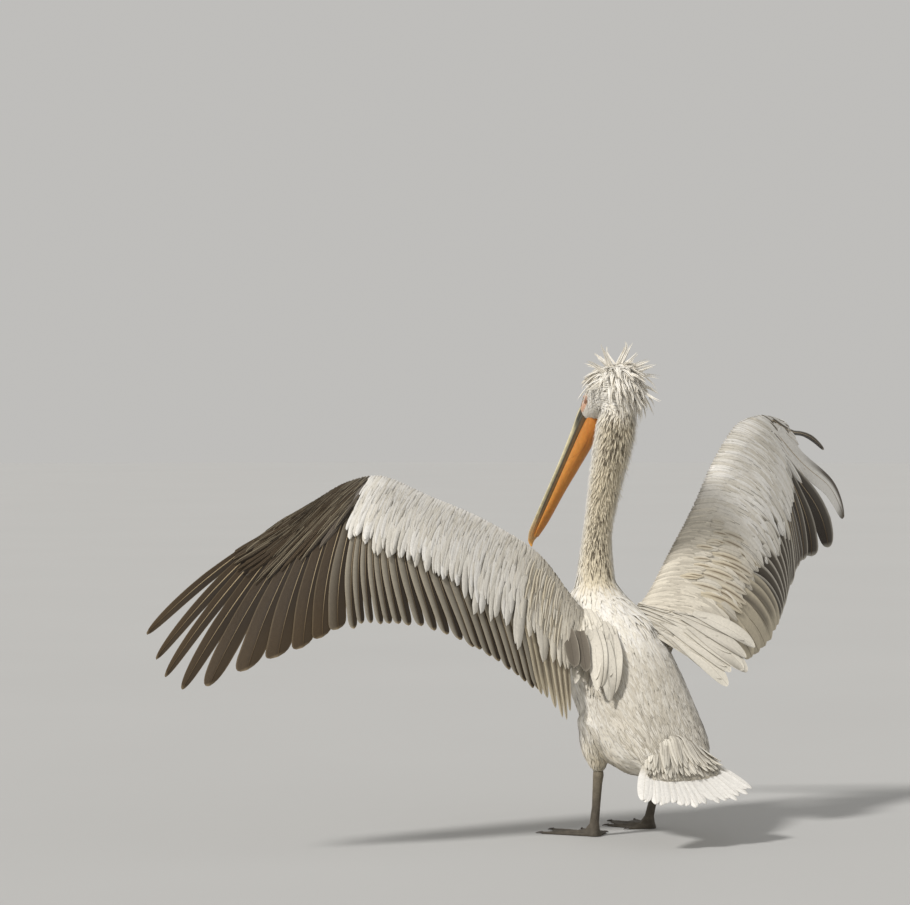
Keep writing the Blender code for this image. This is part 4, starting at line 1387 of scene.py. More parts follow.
@dataclass(frozen=True)
class Tract:
    """One station of the bird's feather tracts: where it is, and how its feathers grow."""

    place: tuple[float, float, float]
    lie: tuple[float, float, float]  # the way the feathers point
    radius: float
    length: float
    half_width: float
    stand: float  # height of the tips over the roots
    feathers: bool = True


def tracts_of_spine(points: Sequence[tuple], radius: Sequence[float], coat: Sequence[tuple]) -> list[Tract]:
    """Tracts along a spine in the bird's middle plane.

    Args:
        points: (y, z) of each station, in the order in which the feathers lie.
        radius: of each station.
        coat: (length, half width, stand) of each station.

    Returns:
        The tracts, three for each step.
    """
    rows = np.array([(0.0, *p) for p in points])
    sizes = np.array([(r, *c) for r, c in zip(radius, coat)])
    made = []
    for at in np.arange(0, len(rows) - 0.99, 1 / 3):
        ahead, behind = spline(rows, at + 0.1), spline(rows, at - 0.1)
        size = spline(sizes, at)
        made.append(Tract(tuple(spline(rows, at)), tuple(unit(ahead - behind)), *size))
    return made


HEAD_TRACTS = tracts_of_spine(
    ((-0.146, 1.062), (-0.115, 1.084), (-0.070, 1.109), (-0.035, 1.122), (0.000, 1.125), (0.030, 1.112)),
    (0.028, 0.036, 0.050, 0.055, 0.052, 0.040),
    ((0.009, 0.0015, 0.0010), (0.012, 0.0018, 0.0014), (0.017, 0.0021, 0.0024), (0.022, 0.0022, 0.0036),
     (0.024, 0.0020, 0.0060), (0.024, 0.0018, 0.0070)),
)
NECK_TRACTS = tracts_of_spine(
    ((-0.014, 1.048), (-0.033, 0.980), (-0.060, 0.907), (-0.084, 0.832), (-0.105, 0.758), (-0.113, 0.680),
     (-0.114, 0.610)),
    (0.050, 0.047, 0.041, 0.038, 0.038, 0.045, 0.056),
    ((0.026, 0.0013, 0.0070), (0.027, 0.0012, 0.0100), (0.026, 0.0012, 0.0095), (0.024, 0.0012, 0.0060),
     (0.024, 0.0013, 0.0036), (0.030, 0.0018, 0.0036), (0.044, 0.0036, 0.0044)),
)
TRUNK_TRACTS = tracts_of_spine(
    ((-0.108, 0.565), (-0.078, 0.508), (-0.025, 0.448), (0.035, 0.388), (0.095, 0.330), (0.150, 0.283),
     (0.200, 0.247), (0.238, 0.218), (0.290, 0.172)),
    (0.086, 0.114, 0.130, 0.136, 0.136, 0.125, 0.100, 0.080, 0.080),
    ((0.062, 0.0054, 0.0036), (0.060, 0.0048, 0.0030), (0.056, 0.0040, 0.0026), (0.056, 0.0038, 0.0022),
     (0.058, 0.0038, 0.0022), (0.060, 0.0040, 0.0024), (0.060, 0.0044, 0.0034), (0.066, 0.0048, 0.0036),
     (0.070, 0.0050, 0.0036)),
)
# Loose tufts: the raised one over the right shoulder, and the white ones on the left flank.
TUFTS = [
    Tract((-0.030, 0.020, 0.560), (-0.45, 0.35, -0.80), 0.036, 0.066, 0.0058, 0.0160),
    Tract((0.115, 0.060, 0.420), (0.10, 0.25, -0.95), 0.045, 0.056, 0.0052, 0.0100),
]


def thigh_tracts(ankle: Sequence[float]) -> list[Tract]:
    """Tracts down one thigh, from the hip to the ankle.

    Args:
        ankle: its lower end.

    Returns:
        The tracts, from the hip down.
    """
    hip = np.array((ankle[0] * 0.85, 0.055, 0.330))
    low = np.array(ankle)
    lie = tuple(unit(low - hip + np.array((0.0, 0.03, 0.0))))
    rows = ((0.35, 0.070, 0.042, 0.0040, 0.0060), (0.60, 0.055, 0.038, 0.0034, 0.0055),
            (0.85, 0.032, 0.026, 0.0024, 0.0040), (1.00, 0.018, 0.016, 0.0018, 0.0020))
    return [Tract(tuple(hip * (1 - t) + low * t), lie, *size) for t, *size in rows]


ANKLES = ((0.0955, 0.050, 0.168), (-0.102, 0.022, 0.168))
FLESH = ("trunk", "rump", "head", "neck_lower", "neck_middle", "neck_upper", "leg_left_thigh", "leg_right_thigh")
HEAD_BASE, NECK_BASE = 1.055, 0.62  # heights where the coat changes piece, metres


@dataclass
class BodyCoat:
    """The skin under the coat, and its contour feathers from the face to the tail coverts."""

    wings: Sequence[Wing]
    voxel: float = 0.005
    crowding: float = 6.5  # how many feathers cover each point
    swell: float = 0.0006  # how far the flesh nodes grow, so that neighbours overlap
    seed: int = 7

    def __post_init__(self) -> None:
        """Joins the tracts."""
        self.rng = np.random.default_rng(self.seed)
        thighs = [tract for ankle in ANKLES for tract in thigh_tracts(ankle)]
        arms = []
        for wing in self.wings:
            for at in np.arange(1.1, 8.6, 0.4):
                spot = wing.place(at, 0.22 * wing.covered(at))
                arms.append(Tract(tuple(spot), (0.0, 0.3, -1.0), 0.075, 0.03, 0.003, 0.004, feathers=False))
        self.axis = HEAD_TRACTS + NECK_TRACTS + TRUNK_TRACTS
        self.tracts = self.axis + thighs + arms + TUFTS
        self.places, self.lies, self.radii, self.grown = (
            np.array([getattr(tract, key) for tract in self.tracts]) for key in ("place", "lie", "radius", "feathers")
        )
        self.growth = np.array([(t.length, t.half_width, t.stand) for t in self.tracts])

    def nearness(self, points: Array) -> Array:
        """Weight of each tract at each point, from its distance in radii.

        Args:
            points: places, (count, 3).

        Returns:
            Weights, (points, tracts).
        """
        gap = np.linalg.norm(points[:, None] - self.places[None], axis=-1) / self.radii
        near = gap - gap.min(axis=1, keepdims=True)
        weight = np.exp(-((near / 0.30) ** 2))
        return weight / weight.sum(axis=1, keepdims=True)

    def depth(self, points: Array) -> Array:
        """How far the skin lies under the tips of the coat.

        Args:
            points: places, (count, 3).

        Returns:
            Metres.
        """
        weight = self.nearness(points)
        coat = np.where(self.grown, np.minimum(0.0060, 0.0008 + 0.45 * self.growth[:, 2]), 0.0)
        return (weight @ coat) * (1 - 0.95 * self.bare(points))

    def lie(self, points: Array, normals: Array) -> Array:
        """The way that feathers lie at each point of the skin.

        Args:
            points: places, (count, 3).
            normals: outward directions there.

        Returns:
            Unit directions.
        """
        flow = self.nearness(points) @ self.lies
        flow -= normals * (flow * normals).sum(axis=1, keepdims=True)
        return unit(flow)

    @staticmethod
    def bare(points: Array) -> Array:
        """1 on the bare face: round the eye and from it to the bill, 0 on feathers.

        Args:
            points: places, (count, 3).

        Returns:
            The shares.
        """
        inner = np.array((abs(EYE_CENTRE[0]) - 0.004, -0.146, 1.066))
        mirrored = np.concatenate([np.abs(points[:, :1]), points[:, 1:]], axis=1)
        line = EYE_CENTRE - inner
        t = np.clip(((mirrored - inner) @ line) / (line @ line), 0, 1)
        gap = np.linalg.norm(mirrored - (inner + t[:, None] * line), axis=1)
        wide = 0.010 + 0.0065 * t
        return smooth(1.12, 0.92, gap / wide)

    def colour(self, points: Array, normals: Array, luck: Array) -> Array:
        """Markings of skin and coat alike, with painted shade in part of the lower back's grey.

        Args:
            points: places on the skin.
            normals: outward directions there.
            luck: random numbers from -1 to 1.

        Returns:
            A colour for each point.
        """
        x, y, z = points.T
        wave = np.sin(x * 61 + y * 23) * np.sin(z * 47 - y * 31 + 1.3) * np.sin(x * 17 - z * 29 + 0.5)
        back = normals @ unit(np.array((0.0, 0.80, 0.60)))
        belly = smooth(0.2, -0.7, normals[:, 2]) * smooth(0.62, 0.50, z)
        low = smooth(0.545, 0.44, z) * smooth(-0.35, 0.35, back)
        rump = smooth(0.42, 0.27, z) * smooth(-0.2, 0.5, back)
        thigh = smooth(0.30, 0.20, z) * smooth(0.15, 0.10, y)
        nape = smooth(0.0, 0.9, normals @ unit(np.array((0.45, 0.89, 0.05)))) * smooth(0.60, 0.66, z)
        nape *= smooth(1.10, 1.03, z)
        base = wash(
            Tone.WHITE,
            (Tone.SOFT_WHITE, chance(0.5, 0.5, luck)),
            (Tone.CREAM, 0.6 * belly),
            # The lower back's grey and silver: partly its own tone, partly painted shade.
            (Tone.PALE_GREY, 0.75 * low),
            (Tone.SILVER, 0.75 * low * chance(0.45, 0.6, luck)),
            (Tone.GREY, rump * np.clip(0.10 + 0.40 * wave + 0.16 * luck, 0, 0.5)),
            (Tone.BUFF, 0.55 * thigh),
            (Tone.GREY, 0.45 * smooth(0.215, 0.175, z) * smooth(0.15, 0.10, y)),
            (Tone.CREAM, 0.80 * nape),
            (Tone.BUFF, 0.55 * nape**2),
        )
        return base * (1 + 0.04 * luck)[:, None]

    def speckle(self, points: Array, normals: Array) -> Array:
        """Chance that a feather of the hindneck or cheek is dark.

        Args:
            points: places, (count, 3).
            normals: outward directions there.

        Returns:
            The chances.
        """
        x, y, z = points.T
        wave = np.sin(x * 90 + 0.4) * np.sin(z * 58 + y * 40) * 0.5 + 0.5
        hind = smooth(0.55, 1.0, normals @ unit(np.array((0.50, 0.86, 0.0))))
        high = smooth(0.64, 0.70, z) * smooth(1.09, 1.04, z)
        dense = 0.05 + 0.50 * smooth(0.92, 0.98, z) + 0.30 * smooth(0.84, 0.76, z) * smooth(0.64, 0.70, z)
        cheek = 0.008 * smooth(1.05, 1.08, z) * smooth(1.13, 1.11, z)
        return np.clip(hind * high * dense * (0.45 + 0.8 * wave) + cheek, 0, 0.85)

    def skin_parts(self) -> bmesh.types.BMesh:
        """The flesh nodes, a little swollen so that neighbours overlap, in one mesh.

        Returns:
            The mesh, for the caller to use up.
        """
        joined = bmesh.new()
        for node in FLESH:
            shape = bmesh.new()
            shape.from_mesh(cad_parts[node].data)
            bmesh.ops.remove_doubles(shape, verts=shape.verts, dist=WELD)
            bmesh.ops.recalc_face_normals(shape, faces=shape.faces)
            shape.normal_update()
            for v in shape.verts:
                v.co = v.co + v.normal * self.swell
            made = bpy.data.meshes.new("part")
            shape.to_mesh(made)
            shape.free()
            joined.from_mesh(made)
            bpy.data.meshes.remove(made)
        for wing in self.wings:
            self.add_arm(joined, wing)
        return joined

    def add_arm(self, joined: bmesh.types.BMesh, wing: Wing) -> None:
        """Adds the fleshy arm of a wing as a closed tube.

        Args:
            joined: mesh that takes it.
            wing: the wing.
        """
        at = np.linspace(0.15, 8.7, 46)[:, None]
        c = np.array((0.0, 0.02, 0.06, 0.14, 0.28, 0.45, 0.62))[None, :]
        share = c * wing.covered(at)
        core = wing.place(at, share)
        normal = wing.sheet.normal(at, share)
        size = wing.depth(np.broadcast_to(at, share.shape), share) * (0.80 - 0.55 * (c / c.max()) ** 2)
        over, below = core + normal * size[..., None], core - normal * size[..., None]
        over[:, 0] = below[:, 0] = core[:, 0]
        rings = np.concatenate([over[:, ::-1], below[:, 1:]], axis=1) + SHIFT
        verts = [[joined.verts.new(p) for p in ring] for ring in rings]
        for first, second in zip(verts, verts[1:]):
            for k in range(-1, len(first) - 1):
                joined.faces.new((first[k], first[k + 1], second[k + 1], second[k]))
        joined.faces.new(verts[0][::-1])
        joined.faces.new(verts[-1])

    def make_skin(self) -> None:
        """Fuses the parts, smooths the joins and keeps its faces for the feathers."""
        joined = self.skin_parts()
        bmesh.ops.recalc_face_normals(joined, faces=joined.faces)
        self.points, self.normals, faces = fused(joined, self.voxel, 6)
        self.points -= self.normals * self.depth(self.points)[:, None]
        groups = by_size(faces, (4, 3))
        self.faces = groups[0]
        self.tree = BVHTree.FromPolygons([tuple(p) for p in self.points], faces)
        tint = self.colour(self.points, self.normals, np.zeros(len(self.points))) * 0.92
        tint = blend(tint, Tone.FACE, self.bare(self.points))
        skin = add_piece("feathered_skin", self.points, groups, DOWN, {"tint": opaque(tint)})
        arms = [f"wing_{wing.side}_{part}" for wing in self.wings for part in ("upper_arm", "forearm", "hand")]
        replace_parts(skin, *FLESH, *arms)

    def project(self, points: Array) -> tuple[Array, Array]:
        """Nearest points of the skin and its normals there.

        Args:
            points: places, (count, 3).

        Returns:
            The points and the normals.
        """
        spots, normals = np.empty_like(points), np.empty_like(points)
        for k, p in enumerate(points):
            spot, normal, _, _ = self.tree.find_nearest(p)
            spots[k], normals[k] = spot, normal
        return spots, normals

    def sow(self) -> tuple[Array, Array, Array]:
        """Roots of the feathers.

        Returns:
            Roots, normals and (length, half width, stand) of each.
        """
        corners = self.points[self.faces]
        centre = corners.mean(axis=1)
        cross = np.cross(corners[:, 2] - corners[:, 0], corners[:, 3] - corners[:, 1])
        area = np.linalg.norm(cross, axis=1) / 2
        normal = unit(cross)
        weight = self.nearness(centre)
        growth = weight @ self.growth
        covered = (weight @ self.grown) > 0.5
        covered &= self.bare(centre) < 0.35
        need = area * self.crowding / (2 * growth[:, 0] * growth[:, 1]) * covered
        count = np.floor(need + self.rng.uniform(0, 1, len(need))).astype(int)
        pick = np.repeat(np.arange(len(need)), count)
        mix = self.rng.uniform(0, 1, (len(pick), 2))
        quad = corners[pick]
        near, far = (blend(quad[:, a], quad[:, b], mix[:, 0]) for a, b in ((0, 1), (3, 2)))
        return blend(near, far, mix[:, 1]), normal[pick], growth[pick]

    def unwrap(self, points: Array) -> Array:
        """Place on an unwrap of the skin: turn round the spine and distance along it.

        Args:
            points: places, (count, 3).

        Returns:
            Places on the map, (count, 2).
        """
        count = len(self.axis)
        gap = np.linalg.norm(points[:, None] - self.places[None], axis=-1) / self.radii
        near = gap[:, :count].argmin(axis=1)
        leg = gap[:, count : count + 8].min(axis=1) < gap[:, :count].min(axis=1)
        lie = self.lies[near]
        up = np.stack([0 * lie[:, 0], lie[:, 2], -lie[:, 1]], axis=1)
        away = points - self.places[near]
        turn = np.arctan2(away[:, 0], (away * up).sum(axis=1)) / (2 * math.pi) + 0.5
        along = (near + ((away * lie).sum(axis=1) / 0.03).clip(-0.5, 0.5)) / count
        u = np.where(leg, 0.86 + 0.12 * turn, 0.01 + 0.83 * turn)
        v = np.where(leg, 0.5 + 0.4 * np.sign(points[:, 0]) * np.clip((0.34 - points[:, 2]) / 0.2, 0, 1), along)
        return np.stack([u, np.clip(v, 0.01, 0.99)], axis=1)

    def build(self) -> None:
        """Makes the skin and its contour feathers."""
        self.make_skin()
        roots, normals, growth = self.sow()
        order = np.argsort(roots[:, 2])
        roots, normals, growth = roots[order], normals[order], growth[order]
        z = roots[:, 2]
        regions = (
            ("head_feathers", z > HEAD_BASE),
            ("neck_feathers", (z <= HEAD_BASE) & (z > NECK_BASE)),
            ("body_feathers", z <= NECK_BASE),
        )
        for name, chosen in regions:
            coat = Coat(name, CONTOUR, "plumage")
            for part in np.array_split(np.flatnonzero(chosen), 4):
                self.lay(coat, roots[part], normals[part], growth[part])
            coat.build()

    def lay(self, coat: Coat, roots: Array, normals: Array, growth: Array) -> None:
        """Walks each feather down the skin from its root.

        Args:
            coat: the piece that takes them.
            roots: their roots.
            normals: of the skin there.
            growth: (length, half width, stand) of each.
        """
        z = roots[:, 2]
        segments = 3 if z.mean() > NECK_BASE else 4
        count = len(roots)
        luck = self.rng.uniform(-1, 1, (count, 5))
        length = growth[:, 0] * (1 + 0.22 * luck[:, 0])
        half_width = growth[:, 1] * (1 + 0.20 * luck[:, 1])
        hind = smooth(-0.2, 0.7, normals[:, 1]) * smooth(0.62, 0.75, z) * smooth(1.12, 1.05, z)
        stand = growth[:, 2] * (1 + 0.35 * luck[:, 2] + 1.3 * hind * luck[:, 4] ** 4)
        spots, ups, lies = [roots], [normals], [self.lie(roots, normals)]
        twist = 0.22 * luck[:, 3]
        for _ in range(segments):
            way = lies[-1] + np.cross(ups[-1], lies[-1]) * twist[:, None]
            spot, up = self.project(spots[-1] + unit(way) * (length / segments)[:, None])
            spots.append(spot)
            ups.append(unit(up + ups[-1] * 0.5))
            lies.append(self.lie(spot, ups[-1]))
        spine, up = np.stack(spots, axis=1), np.stack(ups, axis=1)
        base = self.colour(roots, normals, luck[:, 4])
        dark = self.rng.uniform(0, 1, count) < self.speckle(roots, normals)
        edge = blend(base, Tone.CREAM, 0.5)
        core = np.where(dark[:, None], blend(Tone.SPECKLE, Tone.BROWN, 0.5 + 0.5 * luck[:, 3]), base)
        fine = smooth(0.50, 0.40, z) * smooth(-0.2, 0.4, normals[:, 1])
        low = smooth(0.36, 0.29, z) * fine
        mark = wash(
            base * 0.9, (Tone.GREY, 0.35 * fine * (luck[:, 0] > 0.1)), (Tone.GREY, 0.7 * low * (luck[:, 0] > -0.3))
        )
        streak = np.concatenate([mark, (0.05 + 0.70 * fine + 0.5 * low)[:, None]], axis=1)

        def height(t: Array, s: Array, width: Array) -> Array:
            """Lifted tips and a slight camber."""
            return 0.0006 + stand[:, None, None] * t**1.3 + 0.16 * width * (1 - s**2)

        def paint(t: Array, s: Array) -> Array:
            """Dark centres on some, paler edges, and shaded roots."""
            pale = np.abs(s) * np.where(dark, 0.25, 0.0)[:, None, None]
            return blend(core[:, None, None], edge[:, None, None], pale) * (1 - 0.12 * smooth(0.5, 0.0, t))[..., None]

        across = unit(np.cross(up, unit(np.gradient(spine, axis=1))))
        plumes = Plumes(spine, up, across, half_width)
        plumes.lay(coat, 0.6, 0.5, height, paint, streak, length, self.unwrap(roots), self.rng)


@dataclass
class Crest:
    """Loose curly plumes on the crown and nape: long rays over a mop of shorter ones."""

    centre: Array = field(default_factory=lambda: np.array((0.0, -0.014, 1.158)))
    shorter: int = 330  # locks tried in the mop
    plumes: int = 11  # in each lock
    segments: int = 9
    half_width: float = 0.0015
    seed: int = 23

    def __post_init__(self) -> None:
        """Empty lists of the plumes' middle lines, face directions and half widths."""
        self.rng = np.random.default_rng(self.seed)
        self.spines: list[Array] = []
        self.sides: list[Array] = []
        self.widths: list[float] = []

    def rays(self) -> list[tuple[float, float, float, float]]:
        """Long rays: (turn in the plane across the view, swing out of it, length, droop), radians and metres.

        Returns:
            The rays.
        """
        # Turns are in degrees from the bird's front left, over the crown, to its back right.
        turns = (196, 186, 157, 150, 131, 120, 109, 97, 84, 74, 64, 50, 37, 30, 16, 6, -12, -24, -36)
        lengths = (72, 60, 78, 66, 74, 60, 74, 62, 74, 60, 78, 70, 74, 82, 78, 98, 84, 96, 84)
        rows = []
        for k, (turn, length) in enumerate(zip(turns, lengths)):
            swing = math.radians(24.0 * math.sin(2.3 * k + 0.6))
            rows.append((math.radians(turn), swing, length / 1000, 0.10 + 0.10 * math.sin(1.7 * k)))
        return rows

    def spine(self, root: Array, way: Array, length: float, droop: float, curl: float) -> Array:
        """Points along a plume.

        Args:
            root: where it grows.
            way: unit direction at the root.
            length: metres.
            droop: how far its tip sinks, as a share of its length.
            curl: how far it curls sideways, likewise.

        Returns:
            The points.
        """
        t = np.linspace(0, 1, self.segments + 1)[:, None]
        side = unit(np.cross(way, np.array((0.1, 0.2, 1.0))))
        bend = side * (curl * length) * np.sin(t * 2.6) * t
        return root + way * (length * t) + bend - np.array((0, 0, droop * length)) * t**2.2

    def lock(self, path: Array, up: Array, spread: float, half_width: float) -> None:
        """Adds plumes that start apart and meet at the tip of one lock.

        Args:
            path: middle line of the lock.
            up: direction that its plumes' faces turn about.
            spread: how far apart they start, metres.
            half_width: of a plume.
        """
        rng = self.rng
        t = np.linspace(0, 1, len(path))
        across = unit(np.cross(unit(path[2] - path[0]), up))
        for _ in range(self.plumes):
            reach = t * rng.uniform(0.55, 1.0) ** 0.7
            middle = np.stack([np.interp(reach, t, path[:, k]) for k in range(3)], axis=1)
            off = across * rng.normal(0, spread) + up * rng.normal(0, 0.4 * spread)
            stray = across * rng.normal(0, 0.0022) + up * rng.normal(0, 0.0022)
            self.spines.append(middle + off * ((1 - reach) ** 1.2)[:, None] + stray * (reach**2)[:, None])
            roll = rng.uniform(-0.9, 0.9)
            self.sides.append(up * math.cos(roll) + across * math.sin(roll))
            self.widths.append(half_width * rng.uniform(0.8, 1.15))

    def long_locks(self) -> None:
        """The rays, fanned out over the crown."""
        right, high = np.array((-0.866, 0.5, 0.0)), np.array((0.0, 0.0, 1.0))
        deep = np.cross(right, high)
        for turn, swing, length, droop in self.rays():
            flat = right * math.cos(turn) + high * math.sin(turn)
            way = unit(flat * math.cos(swing) + deep * math.sin(swing))
            start = self.centre + way * 0.012 + high * (0.006 * math.sin(turn) - 0.006) + self.rng.normal(0, 0.004, 3)
            path = self.spine(start, way, 1.22 * length, droop, self.rng.uniform(-0.30, 0.30))
            self.lock(path, deep, 0.0060, self.half_width)

    def mop(self, body: BodyCoat) -> None:
        """The shorter locks, which fall back and down round the crown.

        Args:
            body: gives the skin that they grow from.
        """
        rng = self.rng
        whorl = self.centre - np.array((0.0, 0.012, 0.0))
        for _ in range(self.shorter):
            turn = rng.uniform(-math.pi, math.pi)
            tilt = 1.75 * rng.uniform() ** 0.6
            way = np.array((math.sin(turn) * math.sin(tilt), math.cos(turn) * math.sin(tilt), math.cos(tilt)))
            start, normal = body.project((self.centre - np.array((0, -0.01, 0.035)) + way * 0.08)[None])
            root, up = start[0], normal[0]
            low = float(smooth(1.155, 1.10, root[2]))
            if root[1] < -0.062 - 0.02 * rng.uniform() or root[2] < 1.090 + 0.015 * rng.uniform():
                continue
            if root[0] > 0.030 - 0.034 * low + 0.008 * rng.uniform():
                continue
            flow = unit(root - whorl) * 0.7 + np.array((0.0, 0.25, -0.75))
            flow = unit(flow - up * (flow @ up))
            lean = unit(flow + up * (0.38 - 0.20 * low) + rng.normal(0, 0.16, 3))
            length = 0.036 + 0.026 * rng.uniform() + 0.034 * rng.uniform() ** 3
            path = self.spine(root - up * 0.002, lean, length, 0.15 + 0.35 * rng.uniform(), rng.uniform(-0.30, 0.30))
            self.lock(path, up, 0.0055, self.half_width - 0.0003 * low)

    def build(self, body: BodyCoat) -> None:
        """Makes the crest.

        Args:
            body: gives the skin that the plumes grow from.
        """
        self.long_locks()
        self.mop(body)
        coat = Coat("crest_plumes", CONTOUR, "plumage")
        spine, side = np.array(self.spines), np.array(self.sides)[:, None]
        way = unit(np.gradient(spine, axis=1))
        up = unit(side - way * (side * way).sum(axis=-1, keepdims=True))
        base = blend(Tone.WHITE, Tone.CREAM, chance(0.10, 0.4, self.rng.uniform(-1, 1, len(spine))))
        length = np.linalg.norm(np.diff(spine, axis=1), axis=-1).sum(axis=1)
        Plumes(spine, up, np.cross(up, way), np.array(self.widths)).lay(
            coat, 0.9, 0.6, lambda t, s, width: 0.5 * width * (1 - s**2),
            # Plumes darken towards their roots: painted shade inside the crest.
            lambda t, s: base[:, None, None] * (1 - 0.12 * smooth(0.4, 0.0, t))[..., None],
            shaft_mark(Tone.CREAM, 0.2, len(spine)), length, body.unwrap(spine[:, 0]), self.rng,
        )
        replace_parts(coat.build()[0], "crest")


def rings_piece(
    name: str, rings: Array, tint: Array, finish: HideFinish, closed_ends: bool = True
) -> bpy.types.Object:
    """A lofted piece from rings of points.

    Args:
        name: the piece's name.
        rings: points, (rings, points, 3).
        tint: colours, as rings, or one for all of a ring or line.
        finish: what it is made of.
        closed_ends: True to close both ends.

    Returns:
        The object.
    """
    count, around, _ = rings.shape
    index = np.arange(count * around).reshape(count, around)
    turned = np.roll(index, -1, axis=1)
    quads = np.stack([index[:-1], turned[:-1], turned[1:], index[1:]], axis=-1).reshape(-1, 4)
    caps = np.stack([index[0][::-1], index[-1]]) if closed_ends else np.empty((0, 3), int)
    colour = opaque(np.broadcast_to(tint, rings.shape).reshape(-1, 3))
    piece = add_piece(name, rings.reshape(-1, 3), [quads, caps], finish, {"tint": colour})
    tidy = bmesh.new()
    tidy.from_mesh(piece.data)
    bmesh.ops.recalc_face_normals(tidy, faces=tidy.faces)
    tidy.to_mesh(piece.data)
    tidy.free()
    return piece


